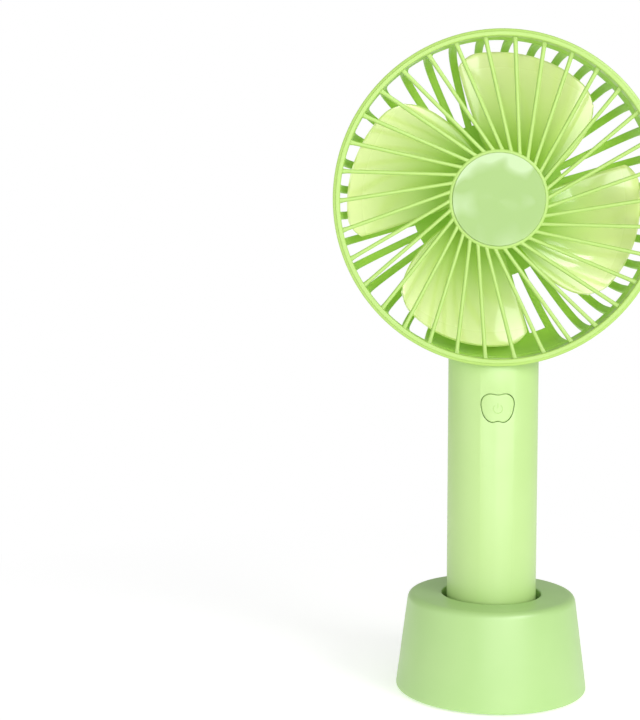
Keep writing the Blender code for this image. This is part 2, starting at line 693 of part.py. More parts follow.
# ================================================================ battery
def make_battery():
    cell = [(0.0, CELL_TOP), (CELL_R - CELL_EDGE, CELL_TOP), (CELL_R, CELL_TOP - CELL_EDGE),
            (CELL_R, CELL_BOTTOM + CELL_EDGE), (CELL_R - CELL_EDGE, CELL_BOTTOM),
            (0.0, CELL_BOTTOM)]
    place("battery_cell", turned_mesh("battery_cell", cell, MEDIUM, closed=False), CELL_WRAP)
    terminal_top = CELL_TOP + TERMINAL_HEIGHT
    terminal = disc_profile(TERMINAL_R, terminal_top, CELL_TOP + GAP)
    place("battery_terminal", turned_mesh("battery_terminal", terminal, SMALL, closed=False),
          STEEL)
    contact_top = terminal_top + GAP + CONTACT_THICKNESS
    contact = disc_profile(CONTACT_R, contact_top, terminal_top + GAP)
    place("top_contact", turned_mesh("top_contact", contact, SMALL, closed=False), BRASS)
    lead = [(0, 0, contact_top + GAP), (0, 0, 85 * MM), (1.5 * MM, 2 * MM, 87.5 * MM),
            (3 * MM, 4 * MM, BOARD_BOTTOM - GAP)]
    place("positive_lead", wire_mesh("positive_lead", smooth_route(lead, 3), LEAD_R), RED_WIRE)
    strip_high = BULKHEAD[0] - GAP
    strip = box_mesh("negative_strip", (*STRIP_SIZE, strip_high - STRIP_LOW))
    place("negative_strip", strip, BRASS, None, (STRIP_X, 0, (STRIP_LOW + strip_high) / 2))


def make_battery_cap():
    """A collar flush with the handle, with a hollow spigot that turns in its bore."""
    spigot_r = HANDLE_BORE_R - GAP
    bore_r = spigot_r - CAP_SPIGOT_WALL
    floor_top = CAP_BOTTOM + CAP_FLOOR
    profile = [(0.0, floor_top), (bore_r, floor_top), (bore_r, CAP_SPIGOT_TOP),
               (spigot_r, CAP_SPIGOT_TOP), (spigot_r, CAP_COLLAR_TOP),
               (HANDLE_R, CAP_COLLAR_TOP)]
    profile += arc((HANDLE_R - CAP_EDGE, CAP_BOTTOM + CAP_EDGE), CAP_EDGE, 0, -90, 3)
    profile += [(0.0, CAP_BOTTOM)]
    cap = place("battery_cap", turned_mesh("battery_cap", profile, MEDIUM, closed=False), LIME)
    slot = box_mesh("coin_slot", COIN_SLOT, (0, 0, CAP_BOTTOM))
    boolean(cap, tool("coin_slot", slot), "DIFFERENCE")
    radius, thickness = BOTTOM_CONTACT
    contact_top = floor_top + GAP + thickness
    contact = disc_profile(radius, contact_top, floor_top + GAP)
    place("bottom_contact", turned_mesh("bottom_contact", contact, SMALL, closed=False), BRASS)
    make_battery_spring(contact_top + GAP, CELL_BOTTOM - GAP)


def make_battery_spring(bottom, top):
    """A conical coil that narrows towards the cell."""
    count = int(SPRING_TURNS * SPRING_STEPS)
    rise = top - bottom - 2 * SPRING_WIRE_R
    points = []
    for step in range(count + 1):
        share = step / count
        angle = 2 * math.pi * SPRING_TURNS * share
        radius = SPRING_R[0] + (SPRING_R[1] - SPRING_R[0]) * share
        points.append((radius * math.cos(angle), radius * math.sin(angle),
                       bottom + SPRING_WIRE_R + rise * share))
    place("battery_spring", wire_mesh("battery_spring", points, SPRING_WIRE_R), STEEL)


# ================================================================ head
def cage_curve(offset):
    """(radius, local Z) corners of the bowl, offset outwards, front first."""
    return [cage_point(degrees, offset) for degrees in CAGE_ANGLES]


def cage_point(degrees, offset):
    angle = math.radians(degrees)
    share = 2.0 / CAGE_POWER
    spread = CAGE_R - CAGE_HUB_R
    radius = CAGE_HUB_R + (spread + offset) * math.cos(angle) ** share
    return radius, BAND_BACK - (CAGE_DEPTH + offset) * math.sin(angle) ** share


def radial(angle):
    """Stand an upright outline of (radius, local Z) points at a clock angle."""
    upright = Matrix(((0, 0, 1, 0), (1, 0, 0, 0), (0, 1, 0, 0), (0, 0, 0, 1)))
    return clockwise(angle) @ upright


def rib_outline():
    half = RIB_THICKNESS / 2
    outer = cage_curve(half)
    inner = cage_curve(-half)
    front = BAND_BACK + RIB_OVERLAP
    return [(outer[0][0], front)] + outer + inner[::-1] + [(inner[0][0], front)]


def tapered_rib_mesh(name, width):
    """A rib lying in local XY, narrower at its hub end."""
    mesh = prism_mesh(name, rib_outline(), width)
    for vertex in mesh.vertices:
        share = (vertex.co.x - CAGE_HUB_R) / (CAGE_R - CAGE_HUB_R)
        vertex.co.z *= RIB_HUB_SHARE + (1.0 - RIB_HUB_SHARE) * share
    return mesh


def motor_cup_profile():
    return [(CUP_EYE_R, CUP_FRONT), (CUP_R, CUP_FRONT), (CUP_R, CUP_BACK),
            (CUP_BORE_R, CUP_BACK), (CUP_BORE_R, CUP_FRONT - CUP_WALL),
            (CUP_EYE_R, CUP_FRONT - CUP_WALL)]


def join_ribs(cage):
    rib = tapered_rib_mesh("rib", RIB_WIDTH)
    turns = [radial(RIB_PHASE + 2 * math.pi * index / RIBS) for index in range(RIBS)]
    boolean(cage, tool("ribs", repeated_mesh("ribs", rib, turns), HEAD), "UNION")
    wire_rib = tapered_rib_mesh("wire_rib", WIRE_RIB_WIDTH)
    wire_rib.transform(radial(math.pi))
    boolean(cage, tool("wire_rib", wire_rib, HEAD), "UNION")


def cut_cage_screw_holes(cage):
    for side in (-1, 1):
        x = side * SCREW_X
        hole = rod_mesh("tongue_hole", TONGUE_HOLE_R, (x, -TONGUE[1], SCREW_Z),
                        (x, TONGUE[1], SCREW_Z))
        boolean(cage, tool("tongue_hole", hole), "DIFFERENCE")
        x = side * MOTOR_SCREW_X
        hole = rod_mesh("motor_screw_hole", MOTOR_SCREW_R + GAP, (x, 0, 0),
                        (x, 0, 2 * CUP_FRONT))
        boolean(cage, tool("motor_screw_hole", hole, HEAD), "DIFFERENCE")


def cut_wire_ways(cage):
    """Ways for the wires through the bowl's wall and out of the motor cup."""
    through_wall = box_mesh("wire_way", (WIRE_WAY_WIDTH, 4 * MM, 7 * MM), WIRE_WAY_AT)
    boolean(cage, tool("wire_way", through_wall), "DIFFERENCE")
    notch = box_mesh("cup_notch", (WIRE_WAY_WIDTH, 4 * MM, 5 * MM), (0, -CUP_R, -16.6 * MM))
    boolean(cage, tool("cup_notch", notch, HEAD), "DIFFERENCE")


def make_rear_cage():
    band = tube_profile(RING_BORE_R, BAND_R, BAND_FRONT, BAND_BACK)
    cage = place("rear_cage", turned_mesh("rear_cage", band, LARGE), LIME_DEEP, HEAD)
    join_ribs(cage)
    disc = tube_profile(CUP_R - CUP_WALL / 2, CAGE_DISC_R, *CAGE_DISC)
    boolean(cage, tool("cage_disc", turned_mesh("cage_disc", disc, LARGE), HEAD), "UNION")
    cup = turned_mesh("motor_cup", motor_cup_profile(), MEDIUM)
    boolean(cage, tool("motor_cup", cup, HEAD), "UNION")
    boolean(cage, tool("neck_plate", neck_plate_mesh(), HEAD), "UNION")
    tongue = box_mesh("tongue", TONGUE, (0, 0, TONGUE_TOP - TONGUE[2] / 2))
    boolean(cage, tool("tongue", tongue), "UNION")
    cut_cage_screw_holes(cage)
    cut_wire_ways(cage)


def neck_plate_mesh():
    """Solid piece of the bowl's side that carries the handle."""
    half = RIB_THICKNESS / 2
    outer = cage_curve(half)[:NECK_PLATE_CORNERS]
    inner = cage_curve(-half)[:NECK_PLATE_CORNERS]
    front = BAND_BACK + RIB_OVERLAP - GAP
    outline = [(outer[0][0], front)] + outer + inner[::-1] + [(inner[0][0], front)]
    return spun_mesh("neck_plate", outline, -math.pi / 2, NECK_PLATE_HALF, NECK_PLATE_STEPS)


def spun_mesh(name, outline, middle, half_turn, steps):
    """Turn an outline of (radius, local Z) points through part of a circle."""
    mesh = bpy.data.meshes.new(name)
    shape = bmesh.new()
    verts = [shape.verts.new((radius, 0.0, height)) for radius, height in outline]
    face = shape.faces.new(verts)
    bmesh.ops.rotate(shape, verts=shape.verts,
                     matrix=Matrix.Rotation(middle - half_turn, 3, "Z"))
    bmesh.ops.spin(shape, geom=[face, *face.verts, *face.edges], axis=(0, 0, 1),
                   cent=(0, 0, 0), angle=2 * half_turn, steps=steps)
    bmesh.ops.recalc_face_normals(shape, faces=shape.faces)
    shape.to_mesh(mesh)
    shape.free()
    return mesh


def swept_spoke_mesh():
    """One straight bar from the hub to the rim, swept and sloping forward."""
    hub_end = Vector((0, HUB_R - SPOKE_ROOT, SPOKE_HUB_Z))
    sweep = Matrix.Rotation(SPOKE_SWEEP, 3, "Z")
    rim_end = sweep @ Vector((0, RING_R - SPOKE_ROOT, SPOKE_RIM_Z))
    along = rim_end - hub_end
    spoke = box_mesh("spoke", (SPOKE_WIDTH, along.length, SPOKE_DEPTH))
    spoke.transform(Matrix.Translation((hub_end + rim_end) / 2)
                    @ along.to_track_quat("Y", "Z").to_matrix().to_4x4())
    return spoke


def grille_hub_profile():
    """The hub disc, with a low lip round the film."""
    return [(0.0, HUB_FRONT), (FILM_R + 0.2 * MM, HUB_FRONT),
            (FILM_R + 0.5 * MM, HUB_FRONT + HUB_LIP),
            (HUB_R - 0.4 * MM, HUB_FRONT + 0.2 * MM), (HUB_R, HUB_FRONT - 0.2 * MM),
            (HUB_R, HUB_BACK), (0.0, HUB_BACK)]


def make_front_grille():
    rim = [(RING_BORE_R, RIM_FRONT - 0.7 * MM), (RING_BORE_R + 0.6 * MM, RIM_FRONT)]
    rim += arc((RING_R - RIM_EDGE, RIM_FRONT - RIM_EDGE), RIM_EDGE, 75, 0, 3)
    rim += [(RING_R, RIM_BACK), (RING_BORE_R, RIM_BACK)]
    grille = place("front_grille", turned_mesh("front_grille", rim, 2 * SPOKES), LIME, HEAD)
    first = SPOKE_PHASE + SPOKE_SWEEP
    turns = [clockwise(first + 2 * math.pi * index / SPOKES) for index in range(SPOKES)]
    spokes = repeated_mesh("spokes", swept_spoke_mesh(), turns)
    boolean(grille, tool("spokes", spokes, HEAD), "UNION")
    hub = turned_mesh("grille_hub", grille_hub_profile(), LARGE, closed=False)
    boolean(grille, tool("grille_hub", hub, HEAD), "UNION")
    film_back = HUB_FRONT + GAP
    film = disc_profile(FILM_R - GAP, film_back + FILM_THICKNESS, film_back)
    place("hub_film", turned_mesh("hub_film", film, MEDIUM, closed=False), CLEAR_FILM, HEAD)


# ================================================================ motor
def motor_can_profile():
    inner = MOTOR_R - MOTOR_WALL
    nose_front = MOTOR_FRONT + NOSE_LENGTH
    return [(BUSHING_HOLE_R, nose_front), (NOSE_R, nose_front), (NOSE_R, MOTOR_FRONT),
            (MOTOR_R - MOTOR_EDGE, MOTOR_FRONT), (MOTOR_R, MOTOR_FRONT - MOTOR_EDGE),
            (MOTOR_R, MOTOR_BACK), (inner, MOTOR_BACK), (inner, MOTOR_FRONT - MOTOR_WALL),
            (BUSHING_HOLE_R, MOTOR_FRONT - MOTOR_WALL)]


def make_motor_housing():
    can = place("motor_can", turned_mesh("motor_can", motor_can_profile(), MEDIUM), STEEL, HEAD)
    for x in (-MOTOR_SCREW_X, MOTOR_SCREW_X):
        hole = rod_mesh("can_hole", MOTOR_SCREW_R + 0.2 * MM, (x, 0, MOTOR_FRONT + MOTOR_WALL),
                        (x, 0, MOTOR_FRONT - 2 * MOTOR_WALL))
        boolean(can, tool("can_hole", hole, HEAD), "DIFFERENCE")
    end_cap = tube_profile(BUSHING_HOLE_R, MOTOR_R - MOTOR_WALL - GAP, END_CAP_FRONT, MOTOR_BACK)
    place("motor_end_cap", turned_mesh("motor_end_cap", end_cap, MEDIUM), WHITE_PLASTIC, HEAD)
    for name, front in (("motor_bushing_front", MOTOR_FRONT + NOSE_LENGTH - 0.2 * MM),
                        ("motor_bushing_rear", END_CAP_FRONT + 0.3 * MM)):
        bushing = tube_profile(BUSHING_BORE_R, BUSHING_R, front, front - BUSHING_LENGTH)
        place(name, turned_mesh(name, bushing, SMALL), BRASS, HEAD)


def make_motor_magnets():
    outline = tube_profile(*MAGNET_R, MAGNET_MIDDLE + MAGNET_LENGTH / 2,
                           MAGNET_MIDDLE - MAGNET_LENGTH / 2)
    for name, middle in (("motor_magnet_left", math.pi), ("motor_magnet_right", 0.0)):
        magnet = spun_mesh(name, outline, middle, MAGNET_HALF, MAGNET_STEPS)
        place(name, magnet, MAGNET_GREY, HEAD)


def make_motor_contacts():
    terminal_x, terminal_y = TERMINAL_AT
    terminal_z = MOTOR_BACK - GAP - TERMINAL_SIZE[2] / 2
    for word, side in (("left", -1), ("right", 1)):
        terminal = box_mesh("motor_terminal_" + word, TERMINAL_SIZE)
        place("motor_terminal_" + word, terminal, BRASS, HEAD,
              (side * terminal_x, terminal_y, terminal_z))
        brush = box_mesh("motor_brush_" + word, BRUSH_SIZE)
        place("motor_brush_" + word, brush, COPPER, HEAD, (side * BRUSH_X, 0, BRUSH_Z))


def make_motor_screws():
    top = CUP_FRONT + GAP
    head_r, head_height = MOTOR_SCREW_HEAD
    for name, x in (("motor_screw_left", -MOTOR_SCREW_X), ("motor_screw_right", MOTOR_SCREW_X)):
        shank = rod_mesh(name, MOTOR_SCREW_R, (x, 0, top + 0.4 * MM),
                         (x, 0, MOTOR_FRONT - 1.2 * MM))
        screw = place(name, shank, STEEL, HEAD)
        head = rod_mesh(name + "_head", head_r, (x, 0, top), (x, 0, top + head_height), 20)
        boolean(screw, tool(name + "_head", head, HEAD), "UNION")
        slot = box_mesh(name + "_slot", MOTOR_SCREW_SLOT, (x, 0, top + head_height))
        boolean(screw, tool(name + "_slot", slot, HEAD), "DIFFERENCE")


def make_motor_cover():
    """A slightly crowned lid whose spigot sits in the motor cup's mouth."""
    seat = CUP_BACK - GAP
    spigot_r = CUP_BORE_R - GAP
    cover = [(0.0, seat + COVER_SPIGOT), (spigot_r, seat + COVER_SPIGOT), (spigot_r, seat),
             (CUP_R, seat), (CUP_R - 0.6 * MM, seat - 0.8 * COVER_CROWN),
             (0.0, seat - COVER_CROWN)]
    place("motor_cover", turned_mesh("motor_cover", cover, MEDIUM, closed=False), LIME, HEAD)


# ================================================================ rotor
def make_armature():
    shaft = rod_mesh("motor_shaft", SHAFT_R, (0, 0, SHAFT_FRONT), (0, 0, MOTOR_BACK - SHAFT_STUB))
    place("motor_shaft", shaft, STEEL, HEAD)
    hub = tube_profile(SHAFT_SLEEVE_R, CORE_HUB_R, CORE_MIDDLE + CORE_LENGTH / 2,
                       CORE_MIDDLE - CORE_LENGTH / 2)
    core = place("rotor_core", turned_mesh("rotor_core", hub, SMALL), MAGNET_GREY, HEAD)
    for index in range(POLES):
        turn = clockwise(2 * math.pi * index / POLES)
        neck = box_mesh("pole_neck", POLE_NECK, (0, POLE_NECK_R, CORE_MIDDLE))
        for name, mesh in (("pole_neck", neck), ("pole_shoe", pole_shoe_mesh())):
            mesh.transform(turn)
            boolean(core, tool(name, mesh, HEAD), "UNION")
        coil = place("rotor_coil_%d" % (index + 1), coil_mesh(), COPPER, HEAD)
        coil.data.transform(turn)
    commutator = tube_profile(SHAFT_SLEEVE_R, COMMUTATOR_R, *COMMUTATOR)
    place("commutator", turned_mesh("commutator", commutator, SMALL), COPPER, HEAD)


def pole_shoe_mesh():
    outline = arc((0, 0), CORE_R, 50, 130, 8)
    outline += arc((0, 0), CORE_R - SHOE_THICKNESS, 128, 52, 8)
    mesh = prism_mesh("pole_shoe", outline, CORE_LENGTH)
    mesh.transform(Matrix.Translation((0, 0, CORE_MIDDLE)))
    return mesh


def coil_mesh():
    """A winding round one pole: a thick sleeve with a rectangular hole."""
    centre = (0, COIL_MIDDLE_R, CORE_MIDDLE)
    guide = tool("coil_guide", box_mesh("coil", COIL_SIZE, centre))
    hole = tool("coil_hole", box_mesh("coil_hole", COIL_HOLE, centre))
    boolean(guide, hole, "DIFFERENCE")
    mesh = baked(guide)
    bpy.data.objects.remove(guide)
    bpy.data.objects.remove(hole)
    return mesh


def blade_point(along, across):
    """A point of the blade's middle surface: along 0..1 hub to tip, across 0..1
    from the leading edge (at the back) to the trailing edge (in front)."""
    lead = math.radians(-15.3 + 6.0 * (1.0 - along) ** 3)
    trail = math.radians(45.5 + 22.0 * (1.0 - along) ** 0.85)
    tip = BLADE_TIP_R - BLADE_TIP_DROP * across ** 2.4
    corner = 1.0 - 0.07 * along ** 6 * (max(0.0, 0.14 - across) / 0.14) ** 2
    corner -= 0.05 * along ** 6 * (max(0.0, across - 0.85) / 0.15) ** 2
    radius = (ROTOR_HUB_R - 0.7 * MM + (tip - ROTOR_HUB_R + 0.7 * MM) * along) * corner
    angle = lead + (trail - lead) * across
    back = BLADE_BACK * (1.0 - 0.9 * max(0.0, 1.0 - along / 0.7) ** 2.5)
    front = BLADE_FRONT * (1.0 - 0.15 * along)
    rise = 0.5 - 0.5 * math.cos(math.pi * across)
    height = back + (front - back) * (0.5 * across + 0.5 * rise)
    return Vector((radius * math.sin(angle), radius * math.cos(angle), height))


def blade_mesh():
    rows, columns = 5, 6
    mesh = bpy.data.meshes.new("blade")
    shape = bmesh.new()
    grid = [[shape.verts.new(blade_point(row / rows, column / columns))
             for column in range(columns + 1)] for row in range(rows + 1)]
    for row in range(rows):
        for column in range(columns):
            shape.faces.new((grid[row][column], grid[row][column + 1],
                             grid[row + 1][column + 1], grid[row + 1][column]))
    shape.to_mesh(mesh)
    shape.free()
    guide = tool("blade_sheet", mesh)
    thicken = guide.modifiers.new("thickness", "SOLIDIFY")
    thicken.thickness = BLADE_THICKNESS
    thicken.offset = 0.0
    result = baked(guide)
    bpy.data.objects.remove(guide)
    return result


def impeller_hub_profile():
    """A cup, open at the back, with a boss inside it on the shaft's end."""
    inner = ROTOR_HUB_R - ROTOR_WALL
    front_inner = ROTOR_HUB_FRONT - ROTOR_WALL
    bore_end = SHAFT_FRONT + GAP
    return [(0.0, ROTOR_HUB_FRONT), (ROTOR_HUB_R - ROTOR_WALL, ROTOR_HUB_FRONT),
            (ROTOR_HUB_R, front_inner), (ROTOR_HUB_R, ROTOR_HUB_BACK),
            (inner, ROTOR_HUB_BACK), (inner, front_inner), (ROTOR_BOSS_R, front_inner),
            (ROTOR_BOSS_R, ROTOR_BOSS_BACK), (SHAFT_SLEEVE_R, ROTOR_BOSS_BACK),
            (SHAFT_SLEEVE_R, bore_end), (0.0, bore_end)]


def make_impeller():
    hub = turned_mesh("impeller", impeller_hub_profile(), MEDIUM, closed=False)
    impeller = place("impeller", hub, BLADE_GREEN, HEAD)
    turns = [clockwise(2 * math.pi * index / BLADES) for index in range(BLADES)]
    blades = repeated_mesh("blades", blade_mesh(), turns)
    boolean(impeller, tool("blades", blades, HEAD), "UNION")


# ================================================================ wiring
def motor_wire_route(side):
    """From the handle, through the neck plate and along the wire rib to the motor."""
    x = side * WIRE_X
    route = [(1.4 * x, 2.8 * MM, BOARD_TOP + GAP), (1.2 * x, 3.4 * MM, 97 * MM),
             (x, 6.0 * MM, 103 * MM), (x, 9.4 * MM, 107.5 * MM), (x, 10.2 * MM, 111.5 * MM)]
    for degrees in WIRE_ANGLES:
        radius, depth = cage_point(degrees, -WIRE_INSET)
        route.append((x, -depth, HEAD_Z - radius))
    return route + [(x, 17.3 * MM, HEAD_Z - 16.0 * MM),
                    (1.6 * x, 17.7 * MM, HEAD_Z - 12.0 * MM),
                    (4.0 * x, 18.0 * MM, HEAD_Z - 8.0 * MM)]


def make_wires():
    for name, side, look in (("motor_wire_black", -1, BLACK_WIRE),
                             ("motor_wire_red", 1, RED_WIRE)):
        route = smooth_route(motor_wire_route(side), 2)
        place(name, wire_mesh(name, route, WIRE_R), look)


# ================================================================ build
clear_scene()
PARTS = collection("handheld_fan")
TOOLS = collection("tools")
HEAD = bpy.data.objects.new("head_axis", None)
PARTS.objects.link(HEAD)
HEAD.location = (0, 0, HEAD_Z)
HEAD.rotation_euler = (math.radians(90), 0, 0)
bpy.context.view_layer.update()

make_stand()
make_handle_shells()
make_handle_screws()
make_button()
make_switch()
make_board()
make_charger()
make_battery()
make_battery_cap()
make_rear_cage()
make_front_grille()
make_motor_housing()
make_motor_magnets()
make_motor_contacts()
make_motor_screws()
make_motor_cover()
make_armature()
make_impeller()
make_wires()
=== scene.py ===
"""Looks for the handheld fan: fine surfaces, materials, light and camera.

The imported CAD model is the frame.  Every dimension that the frame knows is read
from its boxes; the rest are named below.  Head pieces are made in the head's own
frame: local +Z points forward (world -Y) and local +Y points up.
"""

import json
import math

import bmesh
import bpy
from mathutils import Matrix, Vector


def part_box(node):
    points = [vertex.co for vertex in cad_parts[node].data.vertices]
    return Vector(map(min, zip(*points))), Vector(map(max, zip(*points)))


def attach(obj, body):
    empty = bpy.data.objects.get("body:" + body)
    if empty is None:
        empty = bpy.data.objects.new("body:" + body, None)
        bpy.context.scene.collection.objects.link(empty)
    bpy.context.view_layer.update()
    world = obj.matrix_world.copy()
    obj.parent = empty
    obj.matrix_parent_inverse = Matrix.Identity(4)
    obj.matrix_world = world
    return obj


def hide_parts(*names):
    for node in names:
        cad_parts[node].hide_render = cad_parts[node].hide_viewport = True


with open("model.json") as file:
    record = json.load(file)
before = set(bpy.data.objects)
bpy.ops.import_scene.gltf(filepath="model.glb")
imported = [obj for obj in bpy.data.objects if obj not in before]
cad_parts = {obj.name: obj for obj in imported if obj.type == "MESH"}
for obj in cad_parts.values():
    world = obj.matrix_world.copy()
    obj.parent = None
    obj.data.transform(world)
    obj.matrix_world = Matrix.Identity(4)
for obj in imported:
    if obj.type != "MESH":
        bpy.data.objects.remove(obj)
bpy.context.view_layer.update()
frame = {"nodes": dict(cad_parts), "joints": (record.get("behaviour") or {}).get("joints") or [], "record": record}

MM = 0.001
ROUND = 144  # sides of large turned pieces
SMALL_ROUND = 64  # sides of small turned pieces
WELD = 0.002 * MM  # points closer than this become one


def mm(*lengths):
    """A list of lengths given in millimetres."""
    return [length * MM for length in lengths]


# ========== places from the frame
def joint_place(name):
    return Vector(next(j for j in frame["joints"] if j["name"] == name)["pos_m"])


def radius_of(node):
    """Outer radius of a turned node, from its width."""
    low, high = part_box(node)
    return (high.x - low.x) / 2


def depth_of(node):
    """(back, front) of a head node along the head's axis."""
    low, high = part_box(node)
    return -high.y, -low.y


def height_of(node):
    low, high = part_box(node)
    return low.z, high.z


def middle_of(node, axis):
    """Middle of a node's box along X, Y or Z, which are 0, 1 and 2."""
    low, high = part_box(node)
    return (low[axis] + high[axis]) / 2


HEAD = joint_place("fan_spin")
HEAD_MATRIX = Matrix.Translation(HEAD) @ Matrix.Rotation(math.radians(90), 4, "X")

# ---- grille
RING_R = radius_of("front_grille")
HUB_BACK, RIM_FRONT = depth_of("front_grille")
BAND_R = radius_of("rear_cage")
CUP_BACK, BAND_FRONT = depth_of("rear_cage")
RING_BORE_R = RING_R - 2.3 * MM
RIM_FACE_WIDTH = 1.35 * MM  # bright inner part of the rim's face
RIM_BACK = BAND_FRONT + 0.03 * MM
BAND_BACK = BAND_FRONT - 4.0 * MM

SPOKES = 34
SPOKE_WIDTH = 1.25 * MM
SPOKE_DEPTH = 1.8 * MM
SPOKE_CORNER = 0.45 * MM
SPOKE_SWEEP = math.radians(22.0)  # a spoke's rim end lies this far behind its hub end
SPOKE_PHASE = math.radians(4.6)  # first rim end, clockwise from the top
SPOKE_RIM_Z = 14.6 * MM
SPOKE_HUB_Z = 10.3 * MM
SPOKE_STATIONS = (0.0, 0.035, 0.06, 0.09, 0.13, 0.3, 0.5, 0.7, 0.86, 0.90, 0.93, 0.95, 0.965, 1.0)
SPOKE_TAPER = 0.10  # how much thinner a spoke is at its hub end
SPOKE_HUB_INSET, SPOKE_RIM_INSET = 1.2 * MM, 1.4 * MM  # how far its ends run in
RIM_FLARE = (0.42, 0.9 * MM, 0.8 * MM)  # a spoke's extra width there, its start and reach
HUB_FLARE = (0.25, 1.0 * MM, 0.7 * MM)
COLLAR_FRONT = SPOKE_RIM_Z - 1.5 * MM
COLLAR_THICKNESS = 0.6 * MM
COLLAR_GAP = 0.05 * MM
HUB_R = 15.8 * MM
FILM_R = radius_of("hub_film") + 0.25 * MM
FILM_BACK, FILM_FRONT = depth_of("hub_film")
FILM_WAVE = 0.05 * MM
FILM_RINGS, FILM_SIDES = 14, 96
HUB_FRONT = FILM_BACK - 0.3 * MM

# ---- rear cage
RIBS = 36
RIB_WIDTH = 2.6 * MM
WIRE_RIB_WIDTH = 5.0 * MM  # the rib behind the handle, along the wires
RIB_HUB_SHARE = 0.8  # a rib's width at the hub, against the band
RIB_THICKNESS = 1.8 * MM
RIB_CORNER = 0.55 * MM
RIB_PHASE = math.radians(4.4)
CAGE_R = 51.0 * MM
CAGE_HUB_R = 13.5 * MM
CAGE_DEPTH = 26.0 * MM
CAGE_POWER = 3.8  # superellipse exponent of the bowl
NECK_PLATE_HALF = math.radians(24.5)
NECK_PLATE_END = 37.0  # degrees round the bowl
CAGE_DISC_R = 26.0 * MM  # solid middle of the bowl's rear face
CUP_R = radius_of("motor_cover")
CUP_WALL = 1.6 * MM
CUP_FLOOR = 1.4 * MM
CUP_BORE_R = 3.3 * MM
CUP_FRONT = -2.6 * MM
COVER_BACK, COVER_FRONT = depth_of("motor_cover")

# ---- impeller
ROTOR_HUB_FRONT = depth_of("impeller")[1]
ROTOR_HUB_R = 13.3 * MM
ROTOR_HUB_BACK = -1.7 * MM
ROTOR_WALL = 1.5 * MM
ROTOR_BOSS_R = 2.6 * MM
ROTOR_BOSS_BACK = -1.0 * MM
BLADES = 4
BLADE_TIP_R = 48.0 * MM
BLADE_TIP_DROP = 3.6 * MM  # how much shorter the trailing edge is
BLADE_LEAD = (-15.3, 6.0)  # degrees: the leading edge's tip, and more at its root
BLADE_TRAIL = (45.5, 22.0)  # the same for the trailing edge
BLADE_BACK = -6.6 * MM
BLADE_FRONT = 6.6 * MM
BLADE_THICKNESS = 1.1 * MM
BLADE_EDGE = 0.8 * MM  # how far in from its edges a blade is rounded
BLADE_WIDTH = 30 * MM  # about, from leading to trailing edge
BLADE_LENGTH = 34 * MM  # about, from hub to tip
BLADE_FILLET = (0.45 * MM, 1.6 * MM)  # a blade's thickening at the hub, and its reach
BLADE_ROWS, BLADE_COLUMNS = 30, 44

# ---- handle
HANDLE_R = radius_of("handle_front_shell")
HANDLE_BOTTOM = height_of("handle_front_shell")[0]
HANDLE_TOP = HEAD.z - RING_R + 12 * MM  # before the head's outline is cut away
HANDLE_WALL = 2.0 * MM
HEAD_GAP = 0.12 * MM  # between the handle's top and the head
SEAM = 0.07 * MM  # half the parting line between the shells
SHELL_EDGE = 0.10 * MM
SCREW_X = middle_of("handle_screw_right", 0)
SCREW_Z = middle_of("handle_screw_right", 2)
SCREW_HEAD_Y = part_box("handle_screw_right")[1].y
SCREW_HEAD_R = 1.65 * MM
SCREW_SHANK_R = 0.75 * MM
SCREW_BOSS_R, SCREW_SINK_R, SCREW_HOLE_R = 2.5 * MM, 1.95 * MM, 1.1 * MM
BUTTON_Z = middle_of("power_button", 2)
BUTTON_HALF_WIDTH = 5.25 * MM
BUTTON_HALF_HEIGHT = 4.9 * MM
BUTTON_POWER = 2.5  # superellipse exponent of the key's outline
BUTTON_DIP = (0.15, 0.34)  # depth and width of the dips, as shares
BUTTON_TAPER = 0.16  # how much wider the key's top is
BUTTON_GAP = 0.20 * MM
BUTTON_EDGE = 0.35 * MM  # drop of the key's rounded edge
BUTTON_EDGE_SHARE = 0.07  # and its width, as a share of the key's
BUTTON_BACK = -11.6 * MM
MARK_RING_R, MARK_WIRE_R = 1.45 * MM, 0.10 * MM
USB_LOW, USB_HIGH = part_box("usb_socket")
USB_Z = middle_of("usb_socket", 2)
USB_WALL = 0.3 * MM
USB_FLOOR = USB_LOW.y + 1.0 * MM
TONGUE_Y = USB_FLOOR + 2.0 * MM
TONGUE_Z = USB_Z + 0.30 * MM
CONTACTS = 5
CONTACT_PITCH = 0.65 * MM
LENS_LOW, LENS_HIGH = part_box("charge_lens")
LENS_X = middle_of("charge_lens", 0)
LENS_R = (LENS_HIGH.x - LENS_LOW.x) / 2
CAP_BOTTOM, CAP_TOP = height_of("battery_cap")

# ---- stand
STAND_BASE_R = radius_of("stand_shell")
STAND_BOTTOM, STAND_HEIGHT = height_of("stand_shell")
STAND_TOP_R = 27.3 * MM
STAND_WALL = 2.2 * MM
SOCKET_R = 16.3 * MM
SOCKET_WALL = 1.8 * MM
SOCKET_UNDERSIDE, SOCKET_FLOOR = 5.2 * MM, 7.0 * MM
PLATE_BOTTOM, PLATE_TOP = height_of("stand_base_plate")
PLATE_R = radius_of("stand_base_plate")
FOOT_BORE_R, FOOT_R = 23.0 * MM, radius_of("stand_foot_ring")
FOOT_TOP = height_of("stand_foot_ring")[1]
FOOT_GAP = 0.3 * MM  # between the foot ring and its groove
PAD_R = radius_of("socket_pad")
PAD_BOTTOM, PAD_TOP = height_of("socket_pad")

